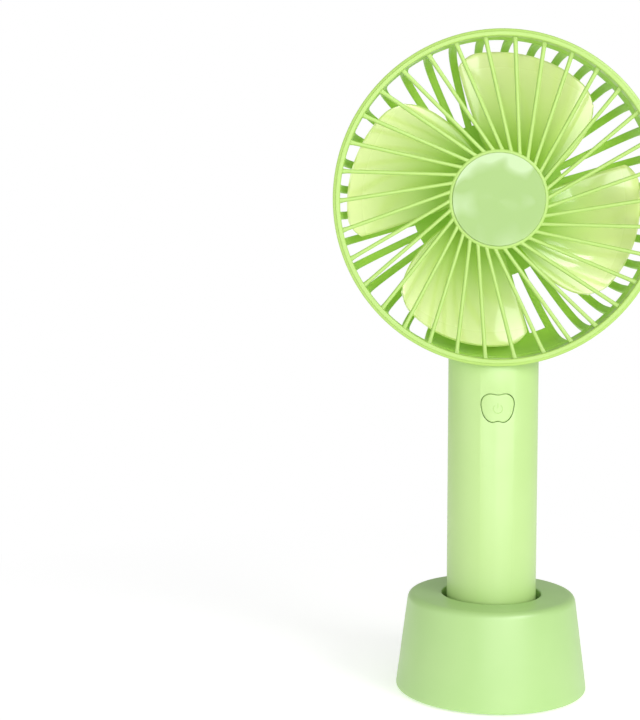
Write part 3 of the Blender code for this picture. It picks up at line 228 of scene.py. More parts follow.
# ---- stage, light and camera: metres, watts, and strengths of white
SURROUND, OVERHEAD = 0.54, 0.42  # the surround's light at the horizon and straight up
SURROUND_RISE = (0.10, 0.85)  # where it changes, as heights on a unit sphere
FLOOR_R = 9.0
FLOOR_GLOW = 0.46
FLOOR_FADE = (0.03, 0.28)  # where the floor turns from shaded to plain white
LIGHT_TARGET = Vector((0.0, 0.0, 0.12))
LIGHTS = {  # place, width and height, power
    "key": ((0.72, -0.86, 0.74), (0.40, 0.40), 4.4),
    "panel": ((0.125, -0.71, 0.24), (0.70, 0.46), 2.5),
    "fill": ((-0.80, -0.35, 0.25), (0.9, 0.6), 0.9),
}
CAMERA_PLACE = (-0.0513, -0.4722, 0.1502)
CAMERA_PITCH, CAMERA_YAW = math.radians(85.02), math.radians(0.65)
CAMERA_LENS, CAMERA_SENSOR = 72.45, 36.0

# ---- linear RGB
LIME = (0.488, 0.703, 0.252)
LIME_SHADE = (0.466, 0.686, 0.234)
STAND_LIME = (0.415, 0.640, 0.228)
STAND_SHADE = (0.392, 0.622, 0.211)
MARK_LIME = (0.400, 0.640, 0.190)
GRILLE_LIME = (0.415, 0.635, 0.135)
GRILLE_SHADE = (0.398, 0.620, 0.126)
# painted shade: the cage's colours are a deeper, more saturated green than the shell's, for the shade and green
# bounce light inside the cage
CAGE_LIME_WITH_PAINTED_SHADE = (0.425, 0.705, 0.100)
CAGE_SHADE = (0.375, 0.665, 0.082)
BLADE_LIME = (0.815, 0.905, 0.360)
# painted shade: the blades' colour near the hub, darkened for the shade of the front hub
BLADE_PAINTED_SHADE = (0.310, 0.560, 0.030)
# strength of the blades' painted glow
BLADE_PAINTED_GLOW = 0.07
FILM_TINT = (0.280, 0.490, 0.080)
# painted glare: the film's pale colour where it catches glare
FILM_PAINTED_GLARE = (0.430, 0.610, 0.270)
CHARCOAL, BLACK = (0.028, 0.028, 0.030), (0.012, 0.012, 0.013)
IVORY, CREAM = (0.80, 0.80, 0.77), (0.74, 0.74, 0.70)
WHITE = (1.0, 1.0, 1.0, 1.0)


# ========== shader helpers
class Graph:
    """The nodes of a material or a world, with short calls for the kinds used here."""

    def __init__(self, name, library="materials", shader="Principled BSDF"):
        self.owner = getattr(bpy.data, library).new(name)
        self.owner.use_nodes = True
        self.tree = self.owner.node_tree
        self.shader = self.tree.nodes[shader]
        self.coordinates = self.node("TexCoord").outputs
        self.place = self.coordinates["Object"]

    def give(self, socket, value):
        """Link a socket to another node's output, or set it to a plain value."""
        if isinstance(value, bpy.types.NodeSocket):
            self.tree.links.new(value, socket)
        else:
            socket.default_value = value

    def node(self, kind, sockets=None, **settings):
        """Add a node; sockets holds its inputs, by name or by number."""
        node = self.tree.nodes.new("ShaderNode" + kind)
        for key, value in settings.items():
            setattr(node, key, value)
        for key, value in (sockets or {}).items():
            self.give(node.inputs[key], value)
        return node

    def noise(self, scale, detail=3.0, roughness=0.5, place=None):
        sockets = {"Scale": scale, "Detail": detail, "Roughness": roughness,
                   "Vector": place or self.place}
        return self.node("TexNoise", sockets).outputs["Fac"]

    def stretched(self, scale):
        """The place, scaled by a different amount along each axis."""
        return self.node("Mapping", {"Scale": scale, "Vector": self.place}).outputs["Vector"]

    def length(self, vector):
        return self.node("VectorMath", {0: vector}, operation="LENGTH").outputs["Value"]

    def axis_distance(self):
        """Distance from the piece's own Z axis."""
        return self.length(self.stretched((1.0, 1.0, 0.0)))

    def maths(self, operation, *values):
        return self.node("Math", dict(enumerate(values)), operation=operation).outputs["Value"]

    def spread(self, value, low, high, start=0.3, end=0.7):
        """Map start..end, which is a noise's middle range unless given, to low..high."""
        sockets = {"Value": value, "From Min": start, "From Max": end, "To Min": low, "To Max": high}
        return self.node("MapRange", sockets).outputs["Result"]

    def ramp(self, value, stops):
        node = self.node("ValToRGB", {"Fac": value})
        elements = node.color_ramp.elements
        for element, (position, colour) in zip(elements, stops):
            element.position = position
            element.color = (*colour, 1.0)
        return node.outputs["Color"]

    def bump(self, value, distance, strength, under=None):
        sockets = {"Height": value, "Distance": distance, "Strength": strength}
        if under is not None:
            sockets["Normal"] = under
        return self.node("Bump", sockets).outputs["Normal"]

    def mixed(self, share, first, second):
        """The first surface where share is 0, the second where it is 1."""
        return self.node("MixShader", {"Fac": share, 1: first, 2: second}).outputs["Shader"]

    def set(self, **inputs):
        """Set or link the shader's own sockets; _ stands for a space."""
        for key, value in inputs.items():
            self.give(self.shader.inputs[key.replace("_", " ")], value)
        return self.owner

    def finish(self, surface, output="Material Output"):
        """Show another surface than the shader's own."""
        self.give(self.tree.nodes[output].inputs["Surface"], surface)
        return self.owner


# ========== materials
def moulded_plastic(name, colour, shade, roughness, gloss=0.5, grain=0.008 * MM, painted_glow=0.0):
    """Injection-moulded plastic: faint flow mottling and spark-eroded grain; the glow is painted light, an
    emission in the plastic's own colour that stands in for the little light that comes through a thin wall."""
    g = Graph(name)
    mottle = g.ramp(g.noise(55.0), [(0.30, shade), (0.70, colour)])
    normal = g.bump(g.noise(2600.0, 2.0), grain, 0.35)
    normal = g.bump(g.noise(240.0), 0.012 * MM, 0.25, under=normal)
    rough = g.spread(g.noise(130.0), roughness - 0.04, roughness + 0.04)
    # the emission is painted light: a glow in the plastic's own colour
    return g.set(Base_Color=mottle, Roughness=rough, Normal=normal,
                 Specular_IOR_Level=gloss, Emission_Color=mottle, Emission_Strength=painted_glow)


def blade_plastic():
    """Glossy blades, duller towards the hub; painted shade darkens their colour towards the hub, where the front
    hub shades them, and a painted glow in their own colour stands in for light through the thin plastic.
    """
    g = Graph("blade_plastic")
    share = g.spread(g.axis_distance(), 0.0, 1.0, ROTOR_HUB_R, BLADE_TIP_R)
    # painted shade: the colour darkens towards the hub, where the front hub shades the blades; the noise adds
    # random tone
    painted_shade_and_tone = g.maths("MULTIPLY_ADD", g.noise(45.0, 2.0), 0.05, share)
    colour = g.ramp(painted_shade_and_tone, [(0.18, BLADE_PAINTED_SHADE), (1.0, BLADE_LIME)])
    rough = g.spread(share, 0.46, 0.22, 0.0, 1.1)
    polish = g.spread(share, 0.0, 1.0, 0.12, 1.1)
    normal = g.bump(g.noise(70.0, 2.0), 0.02 * MM, 0.2)
    # the emission is painted light: the blades glow in their own colour
    return g.set(Base_Color=colour, Roughness=rough, Normal=normal, IOR=1.5,
                 Specular_IOR_Level=0.9, Coat_Weight=polish, Coat_Roughness=0.07,
                 Coat_IOR=1.9, Emission_Color=colour, Emission_Strength=BLADE_PAINTED_GLOW)


def film_plastic():
    """Clear glossy film with painted glare: a pale, less see-through tint in patches near its edge, strongest
    towards its top.
    """
    g = Graph("film_plastic")
    edge = g.spread(g.axis_distance(), 0.0, 1.0, 0.45 * FILM_R, 0.95 * FILM_R)
    rise = g.node("SeparateXYZ", {"Vector": g.place}).outputs["Y"]
    upper = g.spread(rise, 0.15, 1.0, -0.7 * FILM_R, 0.7 * FILM_R)
    patches = g.spread(g.noise(110.0, 1.0, 0.4), 0.0, 1.0, 0.42, 0.66)
    # painted glare: in patches, near the edge, strongest towards the top
    painted_glare = g.maths("MULTIPLY", g.maths("MULTIPLY", edge, upper), patches)
    alpha = g.spread(painted_glare, 0.88, 0.98, 0.0, 0.55)
    colour = g.ramp(painted_glare, [(0.0, FILM_TINT), (0.45, FILM_PAINTED_GLARE)])
    dents = g.bump(g.noise(120.0, 2.0), 0.12 * MM, 0.3)
    rough = g.spread(g.noise(300.0), 0.06, 0.14)
    return g.set(Base_Color=colour, Roughness=rough, Normal=dents, Alpha=alpha,
                 Coat_Weight=1.0, Coat_Roughness=0.05, IOR=1.5)


def brushed_metal(name, colour, shade):
    """Plated or rolled metal with fine lines and faint stains."""
    g = Graph(name)
    lines = g.noise(1.0, 3.0, 0.6, g.stretched((60.0, 60.0, 2400.0)))
    tint = g.ramp(g.noise(320.0, 4.0), [(0.30, shade), (0.65, colour)])
    rough = g.spread(lines, 0.18, 0.36)
    normal = g.bump(lines, 0.01 * MM, 0.4)
    return g.set(Base_Color=tint, Roughness=rough, Normal=normal, Metallic=1.0)


def enamelled_copper():
    """Windings: close turns of lacquered wire."""
    g = Graph("enamelled_copper")
    wave = g.node("TexWave", {"Scale": 900.0, "Distortion": 0.6, "Vector": g.place},
                  wave_type="BANDS", bands_direction="Z").outputs["Fac"]
    colour = g.ramp(wave, [(0.0, (0.28, 0.07, 0.02)), (0.6, (0.75, 0.27, 0.10))])
    rough = g.spread(g.noise(500.0), 0.22, 0.36)
    return g.set(Base_Color=colour, Roughness=rough, Normal=g.bump(wave, 0.10 * MM, 0.8),
                 Metallic=1.0)


def dark_magnet():
    """Sintered ferrite and lacquered steel laminations."""
    g = Graph("dark_magnet")
    grit = g.noise(1800.0, 4.0)
    colour = g.ramp(grit, [(0.3, (0.020, 0.020, 0.023)), (0.7, (0.060, 0.060, 0.065))])
    layers = g.noise(1.0, 2.0, 0.5, g.stretched((40.0, 2600.0, 40.0)))
    normal = g.bump(layers, 0.03 * MM, 0.5, under=g.bump(grit, 0.02 * MM, 0.5))
    rough = g.spread(grit, 0.45, 0.70)
    return g.set(Base_Color=colour, Roughness=rough, Normal=normal, Metallic=0.3)


def solder_mask():
    """Green circuit board with faint tracks under the mask."""
    g = Graph("solder_mask")
    tracks = g.node("TexBrick", {"Scale": 420.0, "Mortar Size": 0.08, "Vector": g.place,
                                 "Color1": (0.010, 0.110, 0.035, 1.0),
                                 "Color2": (0.012, 0.125, 0.040, 1.0),
                                 "Mortar": (0.030, 0.230, 0.075, 1.0)}, offset=0.5).outputs
    rough = g.spread(g.noise(600.0), 0.22, 0.34)
    return g.set(Base_Color=tracks["Color"], Roughness=rough,
                 Normal=g.bump(tracks["Fac"], 0.03 * MM, 0.4))


def foam_rubber():
    """Closed-cell foam: matt, pitted, slightly dusty."""
    g = Graph("foam_rubber")
    cells = g.node("TexVoronoi", {"Scale": 1700.0, "Vector": g.place}).outputs["Distance"]
    dust = g.noise(260.0, 4.0)
    colour = g.ramp(dust, [(0.35, (0.020, 0.020, 0.021)), (0.70, (0.050, 0.050, 0.052))])
    rough = g.spread(dust, 0.78, 0.95)
    return g.set(Base_Color=colour, Roughness=rough, Normal=g.bump(cells, 0.12 * MM, 0.7))


def wire_jacket(name, colour, shade):
    """Extruded insulation with faint lengthwise lines."""
    g = Graph(name)
    lines = g.noise(1.0, 3.0, 0.5, g.stretched((2500.0, 2500.0, 90.0)))
    tint = g.ramp(lines, [(0.3, shade), (0.7, colour)])
    rough = g.spread(g.noise(700.0), 0.35, 0.50)
    return g.set(Base_Color=tint, Roughness=rough, Normal=g.bump(lines, 0.02 * MM, 0.4))


def shrink_wrap():
    """The cell's tight plastic sleeve, slightly wavy where it shrank."""
    g = Graph("shrink_wrap")
    waves = g.noise(1.0, 3.0, 0.5, g.stretched((160.0, 160.0, 40.0)))
    colour = g.ramp(waves, [(0.3, (0.015, 0.105, 0.270)), (0.7, (0.025, 0.150, 0.360))])
    rough = g.spread(g.noise(400.0), 0.18, 0.30)
    return g.set(Base_Color=colour, Roughness=rough, Normal=g.bump(waves, 0.08 * MM, 0.6),
                 Coat_Weight=0.4)


def clear_lens():
    """Frosted light guide."""
    g = Graph("clear_lens")
    painted_glare = g.noise(900.0)
    colour = g.ramp(painted_glare, [(0.3, (0.70, 0.76, 0.72)), (0.7, (0.84, 0.88, 0.85))])
    rough = g.spread(painted_glare, 0.12, 0.26)
    return g.set(Base_Color=colour, Roughness=rough, Normal=g.bump(painted_glare, 0.01 * MM, 0.4),
                 Subsurface_Weight=0.5, Subsurface_Radius=(1.0, 1.0, 1.0),
                 Subsurface_Scale=1.0 * MM)


def make_materials():
    plastics = {  # colour, shade, roughness, then gloss, grain and painted glow
        "lime_shell": (LIME, LIME_SHADE, 0.40, 1.0),
        "lime_stand": (STAND_LIME, STAND_SHADE, 0.40, 1.0, 0.015 * MM),
        "lime_button": (LIME, LIME_SHADE, 0.38, 1.0),
        "lime_grille": (GRILLE_LIME, GRILLE_SHADE, 0.36, 0.7, 0.0),
        # the cage's colour carries painted shade, and its glow is painted light
        "lime_cage": (CAGE_LIME_WITH_PAINTED_SHADE, CAGE_SHADE, 0.50, 0.3, 0.002 * MM, 0.05),
        "lime_mark": (MARK_LIME, LIME_SHADE, 0.45),
        "black_plastic": (CHARCOAL, BLACK, 0.42),
        "white_plastic": (IVORY, CREAM, 0.38),
    }
    materials = {name: moulded_plastic(name, *look) for name, look in plastics.items()}
    materials.update({
        "lime_blade": blade_plastic(),
        "clear_film": film_plastic(),
        "steel": brushed_metal("steel", (0.60, 0.60, 0.61), (0.46, 0.46, 0.47)),
        "brass": brushed_metal("brass", (0.82, 0.58, 0.24), (0.66, 0.42, 0.15)),
        "copper": enamelled_copper(),
        "dark_iron": dark_magnet(),
        "board": solder_mask(),
        "foam": foam_rubber(),
        "red_wire": wire_jacket("red_wire", (0.52, 0.020, 0.014), (0.36, 0.012, 0.010)),
        "black_wire": wire_jacket("black_wire", (0.024, 0.024, 0.026), (0.010, 0.010, 0.011)),
        "cell_wrap": shrink_wrap(),
        "lens": clear_lens(),
    })
    return materials


def paint_cad_nodes():
    """Every carried-over CAD node gets the material of its slot in the record."""
    for part in frame["record"]["subparts"]:
        node = frame["nodes"][part["node"]]
        node.data.materials.clear()
        node.data.materials.append(MATERIALS[part["material_slot"]])


# ========== mesh helpers
def smooth_mesh(mesh):
    mesh.shade_smooth()
    mesh.set_sharp_from_angle(angle=math.radians(38.0))
    return mesh


def plain_mesh(shape):
    """Turn a bmesh into a mesh and free it."""
    mesh = bpy.data.meshes.new("work")
    shape.to_mesh(mesh)
    shape.free()
    return mesh


def finished(shape):
    """Close a bmesh into a mesh, with welded points and outward faces."""
    bmesh.ops.remove_doubles(shape, verts=shape.verts, dist=WELD)
    bmesh.ops.dissolve_degenerate(shape, edges=shape.edges, dist=WELD / 2)
    bmesh.ops.recalc_face_normals(shape, faces=shape.faces)
    return smooth_mesh(plain_mesh(shape))


def rounded(points, radii, steps=5):
    """A closed outline with each corner replaced by a curve of its own radius."""
    outline = []
    count = len(points)
    for index, (point, radius) in enumerate(zip(points, radii)):
        here = Vector(point)
        if radius <= 0.0:
            outline.append(tuple(here))
            continue
        before = Vector(points[index - 1]) - here
        after = Vector(points[(index + 1) % count]) - here
        half = before.angle(after) / 2
        reach = min(radius / math.tan(half), 0.49 * before.length, 0.49 * after.length)
        first, last = here + before.normalized() * reach, here + after.normalized() * reach
        for step in range(steps + 1):
            share = step / steps
            outline.append(tuple(first * (1 - share) ** 2 + here * 2 * share * (1 - share)
                                 + last * share ** 2))
    return outline


def rounded_bar(half_width, half_height, corner, steps=3):
    """A rounded rectangle round the origin, as (across, up) points."""
    w, h = half_width, half_height
    return rounded([(-w, -h), (w, -h), (w, h), (-w, h)], [corner] * 4, steps)


def turned(outline, segments=ROUND, middle=0.0, half_turn=math.pi):
    """Turn a closed outline of (radius, height) points about Z, all round or in part."""
    shape = bmesh.new()
    verts = [shape.verts.new((radius, 0.0, height)) for radius, height in outline]
    whole = half_turn >= math.pi
    edges = [shape.edges.new(pair) for pair in zip(verts, verts[1:] + verts[:1])]
    geometry = [*verts, *edges]
    if not whole:
        geometry.append(shape.faces.new(verts))
    bmesh.ops.rotate(shape, verts=verts, matrix=Matrix.Rotation(middle - half_turn, 3, "Z"))
    bmesh.ops.spin(shape, geom=geometry, axis=(0, 0, 1), cent=(0, 0, 0),
                   angle=2 * half_turn, steps=segments, use_merge=whole)
    return finished(shape)


def join_rows(shape, first, second):
    """Join two rows of points with four-sided faces."""
    for corners in zip(first, first[1:], second[1:], second):
        shape.faces.new(corners)


def join_rings(shape, first, second):
    join_rows(shape, [*first, first[0]], [*second, second[0]])


def lofted(rings):
    """Skin a run of closed rings, with flat ends."""
    shape = bmesh.new()
    loops = [[shape.verts.new(point) for point in ring] for ring in rings]
    for first, second in zip(loops, loops[1:]):
        join_rings(shape, first, second)
    shape.faces.new(loops[0][::-1])
    shape.faces.new(loops[-1])
    return finished(shape)


def box(size, centre):
    shape = bmesh.new()
    bmesh.ops.create_cube(shape, size=1.0)
    bmesh.ops.scale(shape, vec=size, verts=shape.verts)
    bmesh.ops.translate(shape, vec=centre, verts=shape.verts)
    return finished(shape)


def back_rod(radius, x, z, start, end):
    """A rod along Y at (x, z), from start to end."""
    shape = bmesh.new()
    along = Vector((0, end - start, 0))
    turn = along.to_track_quat("Z", "Y").to_matrix().to_4x4()
    centre = Matrix.Translation((x, (start + end) / 2, z))
    bmesh.ops.create_cone(shape, cap_ends=True, segments=48, radius1=radius, radius2=radius,
                          depth=along.length, matrix=centre @ turn)
    return finished(shape)


def repeated(mesh, matrices):
    shape = bmesh.new()
    for matrix in matrices:
        copy = mesh.copy()
        copy.transform(matrix)
        shape.from_mesh(copy)
        bpy.data.meshes.remove(copy)
    return plain_mesh(shape)


def linked(name, data):
    """A new object in the scene."""
    obj = bpy.data.objects.new(name, data)
    bpy.context.scene.collection.objects.link(obj)
    return obj


def applied(obj):
    """Replace an object by the mesh that its modifiers or curve settings make."""
    bpy.context.view_layer.update()
    depsgraph = bpy.context.evaluated_depsgraph_get()
    result = bpy.data.meshes.new_from_object(obj.evaluated_get(depsgraph))
    bpy.data.objects.remove(obj)
    return smooth_mesh(result)


def combined(mesh, *steps):
    """Apply (operation, mesh) booleans in turn and return the resulting mesh."""
    obj = linked("work", mesh)
    tools = []
    for operation, operand in steps:
        modifier = obj.modifiers.new("boolean", "BOOLEAN")
        modifier.operation = operation
        modifier.solver = "EXACT"
        modifier.object = linked("work_tool", operand)
        tools.append(modifier.object)
    result = applied(obj)
    for tool in tools:
        bpy.data.objects.remove(tool)
    return result


def bevelled(mesh, width):
    """Round a mesh's sharp edges."""
    obj = linked("work", mesh)
    modifier = obj.modifiers.new("round", "BEVEL")
    modifier.width = width
    modifier.segments = 2
    modifier.limit_method = "ANGLE"
    modifier.angle_limit = math.radians(40.0)
    return applied(obj)


def around(count, phase=0.0):
    """Turns that space copies evenly, clockwise from the phase."""
    return [Matrix.Rotation(-(phase + math.tau * index / count), 4, "Z") for index in range(count)]


def on_back(x, z):
    """The place of a piece that is turned about Z and looks out of the handle's back."""
    return Matrix.Translation((x, 0, z)) @ Matrix.Rotation(math.radians(-90), 4, "X")


def piece(name, mesh, material, body, replaces=(), matrix=Matrix.Identity(4)):
    """Add a finished surface to the fan, riding on a CAD body; its one slot holds the given material."""
    mesh.name = name
    obj = linked(name, mesh)
    obj.matrix_world = matrix
    mesh.materials.clear()
    mesh.materials.append(MATERIALS[material])
    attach(obj, body)
    if replaces:
        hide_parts(*replaces)


# ========== grille
def rim_mesh():
    """The bright inner face, the soft outer edge and the plain side of the rim."""
    face_edge = RING_BORE_R + RIM_FACE_WIDTH
    seat_r = RING_BORE_R + COLLAR_THICKNESS + COLLAR_GAP
    seat_front = COLLAR_FRONT + COLLAR_GAP
    corners = [(RING_BORE_R, RIM_FRONT - 0.1 * MM), (face_edge, RIM_FRONT),
               (face_edge + 0.1 * MM, RIM_FRONT - 0.30 * MM),
               (RING_R, RIM_FRONT - 0.45 * MM), (RING_R, RIM_BACK), (seat_r, RIM_BACK),
               (seat_r, seat_front), (RING_BORE_R, seat_front)]
    radii = mm(0.5, 0.25, 0.1, 1.6, 0.1, 0.1, 0.0, 0.1)
    return turned(rounded(corners, radii, 6), 2 * ROUND)


def flare(distance, amount, start, reach):
    """Extra width that dies away with distance from a bar's end."""
    return amount * math.exp(-max(distance - start, 0.0) / reach)


def spoke_mesh():
    """A straight swept bar whose two ends flare into the hub and the rim."""
    hub_end = Vector((0, HUB_R - SPOKE_HUB_INSET, SPOKE_HUB_Z))
    sweep = Matrix.Rotation(SPOKE_SWEEP, 3, "Z")
    rim_end = sweep @ Vector((0, RING_R - SPOKE_RIM_INSET, SPOKE_RIM_Z))
    along = (rim_end - hub_end).normalized()
    side = along.cross(Vector((0, 0, 1))).normalized()
    up = side.cross(along)
    length = (rim_end - hub_end).length
    rings = []
    for share in SPOKE_STATIONS:
        wider = flare((1.0 - share) * length, *RIM_FLARE) + flare(share * length, *HUB_FLARE)
        width = SPOKE_WIDTH / 2 * (1.0 + wider) * (1.0 - SPOKE_TAPER * (1.0 - share))
        depth = SPOKE_DEPTH / 2 * (1.0 + 0.5 * wider)
        centre = hub_end.lerp(rim_end, share)
        rings.append([centre + side * across + up * rise
                      for across, rise in rounded_bar(width, depth, SPOKE_CORNER)])
    return lofted(rings)


def grille_hub_mesh():
    """A round-edged disc with a shallow seat for the film."""
    seat_r = FILM_R + 0.03 * MM
    corners = [(0.0, HUB_FRONT), (seat_r, HUB_FRONT), (seat_r + 0.08 * MM, HUB_FRONT + 0.16 * MM),
               (HUB_R, HUB_FRONT + 0.10 * MM), (HUB_R, HUB_BACK), (0.0, HUB_BACK)]
    radii = mm(0.0, 0.05, 0.15, 0.7, 0.4, 0.0)
    return turned(rounded(corners, radii))


def make_grille():
    spokes = repeated(spoke_mesh(), around(SPOKES, SPOKE_PHASE + SPOKE_SWEEP))
    mesh = combined(rim_mesh(), ("UNION", spokes), ("UNION", grille_hub_mesh()))
    piece("grille", mesh, "lime_grille", "fan", ["front_grille"], HEAD_MATRIX)


def film_lift(radius, angle):
    """How unevenly the film's front lies at one place."""
    share = radius / FILM_R
    wave = math.sin(3 * angle + 1.1) * math.sin(share * 5.0)
    wave += 0.7 * math.cos(2 * angle - 0.6 + share * 3.0)
    return FILM_WAVE * wave * (1.0 - share ** 6)


def film_sheet(shape, height, painted_shade_and_tone):
    """One side of the film, as rings round a middle point; returns the outer ring."""
    middle = shape.verts.new((0, 0, height + painted_shade_and_tone * film_lift(0.0, 0.0)))
    rings = []
    for ring in range(1, FILM_RINGS + 1):
        radius = FILM_R * ring / FILM_RINGS
        rings.append([])
        for step in range(FILM_SIDES):
            angle = math.tau * step / FILM_SIDES
            rings[-1].append(shape.verts.new((radius * math.cos(angle), radius * math.sin(angle),
                                              height + painted_shade_and_tone * film_lift(radius, angle))))
    for here, after in zip(rings[0], rings[0][1:] + rings[0][:1]):
        shape.faces.new((middle, here, after))
    for inner, outer in zip(rings, rings[1:]):
        join_rings(shape, inner, outer)
    return rings[-1]


def make_film():
    """A thin disc that lies a little unevenly in its seat."""
    shape = bmesh.new()
    front = film_sheet(shape, FILM_FRONT, 1.0)
    back = film_sheet(shape, FILM_BACK - 0.15 * MM, 0.0)
    join_rings(shape, front, back)
    mesh = finished(shape)
    piece("film", mesh, "clear_film", "fan", ["hub_film"], HEAD_MATRIX)


# ========== rear cage
def cage_point(degrees, offset=0.0):
    """(radius, height) on the bowl's curve, and offset outwards from it."""
    angle = math.radians(degrees)
    share = 2.0 / CAGE_POWER
    radius = CAGE_HUB_R + (CAGE_R - CAGE_HUB_R + offset) * max(math.cos(angle), 0.0) ** share
    return Vector((radius, BAND_BACK - (CAGE_DEPTH + offset) * math.sin(angle) ** share))


def bowl_angles(last, steps):
    """Angles that follow the bowl closely where it bends most."""
    shares = [step / steps for step in range(steps + 1)]
    return [last * (share - 0.10 * math.sin(math.tau * share)) for share in shares]


def rib_mesh(width):
    """A round-cornered bar that follows the bowl from the band to the motor's cup."""
    path = [Vector((CAGE_R, BAND_BACK + 2.6 * MM))]
    path += [cage_point(degrees) for degrees in bowl_angles(90.0, 22)]
    rings = []
    for index, point in enumerate(path):
        along = (path[min(index + 1, len(path) - 1)] - path[max(index - 1, 0)]).normalized()
        out = Vector((-along.y, along.x))
        share = (point.x - CAGE_HUB_R) / (CAGE_R - CAGE_HUB_R)
        half = width / 2 * (RIB_HUB_SHARE + (1.0 - RIB_HUB_SHARE) * share)
        rings.append([Vector((across, point.x + out.x * rise, point.y + out.y * rise))
                      for across, rise in rounded_bar(half, RIB_THICKNESS / 2, RIB_CORNER)])
    return lofted(rings)


def neck_plate_mesh():
    """The plain part of the bowl over the handle's top."""
    half = RIB_THICKNESS / 2
    degrees = bowl_angles(NECK_PLATE_END, 9)
    outer = [tuple(cage_point(angle, half)) for angle in degrees]
    inner = [tuple(cage_point(angle, -half)) for angle in degrees]
    front = BAND_BACK + 1.5 * MM
    outline = [(outer[0][0], front)] + outer + inner[::-1] + [(inner[0][0], front)]
    return turned(outline, 28, -math.pi / 2, NECK_PLATE_HALF)


def cup_mesh():
    """The motor's cup, with a floor that the shaft passes through."""
    floor = CUP_FRONT - CUP_FLOOR
    corners = [(CUP_BORE_R, CUP_FRONT), (CUP_R, CUP_FRONT), (CUP_R, CUP_BACK),
               (CUP_R - CUP_WALL, CUP_BACK), (CUP_R - CUP_WALL, floor), (CUP_BORE_R, floor)]
    radii = mm(0.2, 0.9, 0.3, 0.2, 0.0, 0.0)
    return turned(rounded(corners, radii))


def cage_disc_mesh():
    front = BAND_BACK - CAGE_DEPTH + RIB_THICKNESS / 2
    back = front - RIB_THICKNESS
    inner = CUP_R - CUP_WALL / 2
    corners = [(inner, front), (CAGE_DISC_R, front), (CAGE_DISC_R, back), (inner, back)]
    return turned(rounded(corners, mm(0.0, 0.5, 0.5, 0.0)))


def band_mesh():
    """The band, with a thin collar that reaches forward inside the rim."""
    collar_r = RING_BORE_R + COLLAR_THICKNESS
    corners = [(RING_BORE_R, COLLAR_FRONT), (collar_r, COLLAR_FRONT), (collar_r, BAND_FRONT),
               (BAND_R, BAND_FRONT), (BAND_R, BAND_BACK), (RING_BORE_R, BAND_BACK)]
    radii = mm(0.2, 0.2, 0.0, 0.2, 0.7, 0.5)
    return turned(rounded(corners, radii), 2 * ROUND)


def make_cage():
    ribs = repeated(rib_mesh(RIB_WIDTH), around(RIBS, RIB_PHASE))
    wire_rib = rib_mesh(WIRE_RIB_WIDTH)
    wire_rib.transform(around(1, math.pi)[0])
    mesh = combined(band_mesh(), ("UNION", ribs), ("UNION", wire_rib),
                    ("UNION", cage_disc_mesh()), ("UNION", cup_mesh()),
                    ("UNION", neck_plate_mesh()))
    piece("cage", mesh, "lime_cage", "fan", ["rear_cage"], HEAD_MATRIX)


def make_motor_cover():
    """A crowned lid with one fine ring groove."""
    seat, back = CUP_BACK - 0.15 * MM, COVER_BACK
    spigot_r = CUP_R - CUP_WALL - 0.3 * MM
    groove_r = 0.62 * CUP_R
    corners = [(0.0, COVER_FRONT), (spigot_r, COVER_FRONT), (spigot_r, seat), (CUP_R, seat),
               (CUP_R - 0.5 * MM, back + 0.3 * MM), (groove_r + 0.5 * MM, back),
               (groove_r + 0.25 * MM, back + 0.35 * MM), (groove_r - 0.25 * MM, back + 0.35 * MM),
               (groove_r - 0.5 * MM, back), (0.0, back)]
    radii = mm(0.0, 0.2, 0.0, 0.3, 1.0, 0.15, 0.1, 0.1, 0.15, 0.0)
    mesh = turned(rounded(corners, radii))
    piece("back_cover", mesh, "lime_cage", "fan", ["motor_cover"], HEAD_MATRIX)


# ========== impeller
def blade_middle(along, across):
    """The blade's middle surface: along 0..1 from hub to tip, across 0..1 from the
    leading edge, at the back, to the trailing edge, in front."""
    lead = math.radians(BLADE_LEAD[0] + BLADE_LEAD[1] * (1.0 - along) ** 3)
    trail = math.radians(BLADE_TRAIL[0] + BLADE_TRAIL[1] * (1.0 - along) ** 0.85)
    tip = BLADE_TIP_R - BLADE_TIP_DROP * across ** 2.4
    # the tip's two corners are rounded off
    corner = 1.0 - 0.07 * along ** 6 * (max(0.0, 0.14 - across) / 0.14) ** 2
    corner -= 0.05 * along ** 6 * (max(0.0, across - 0.85) / 0.15) ** 2
    root = ROTOR_HUB_R - 0.7 * MM
    radius = (root + (tip - root) * along) * corner
    angle = lead + (trail - lead) * across
    back = BLADE_BACK * (1.0 - 0.9 * max(0.0, 1.0 - along / 0.7) ** 2.5)
    front = BLADE_FRONT * (1.0 - 0.15 * along)
    rise = 0.5 - 0.5 * math.cos(math.pi * across)
    height = back + (front - back) * (0.3 * across + 0.7 * rise)
    return Vector((radius * math.sin(angle), radius * math.cos(angle), height))


def blade_normal(along, across):
    """The middle surface's normal, from its slopes each way."""
    step = 0.002
    slope_along = blade_middle(min(along + step, 1.0), across)
    slope_along -= blade_middle(max(along - step, 0.0), across)
    slope_across = blade_middle(along, min(across + step, 1.0))
    slope_across -= blade_middle(along, max(across - step, 0.0))
    return slope_across.cross(slope_along).normalized()


def blade_half_thickness(along, across):
    """Even, but rounded off to nothing at the edges and thicker where it meets the hub."""
    near = min(across, 1.0 - across) * BLADE_WIDTH
    near = min(near, (1.0 - along) * (BLADE_TIP_R - ROTOR_HUB_R))
    share = min(1.0, near / BLADE_EDGE)
    fillet, reach = BLADE_FILLET
    root = fillet * math.exp(-along * BLADE_LENGTH / reach)
    return BLADE_THICKNESS / 2 * math.sqrt(1.0 - (1.0 - share) ** 2) + root * share


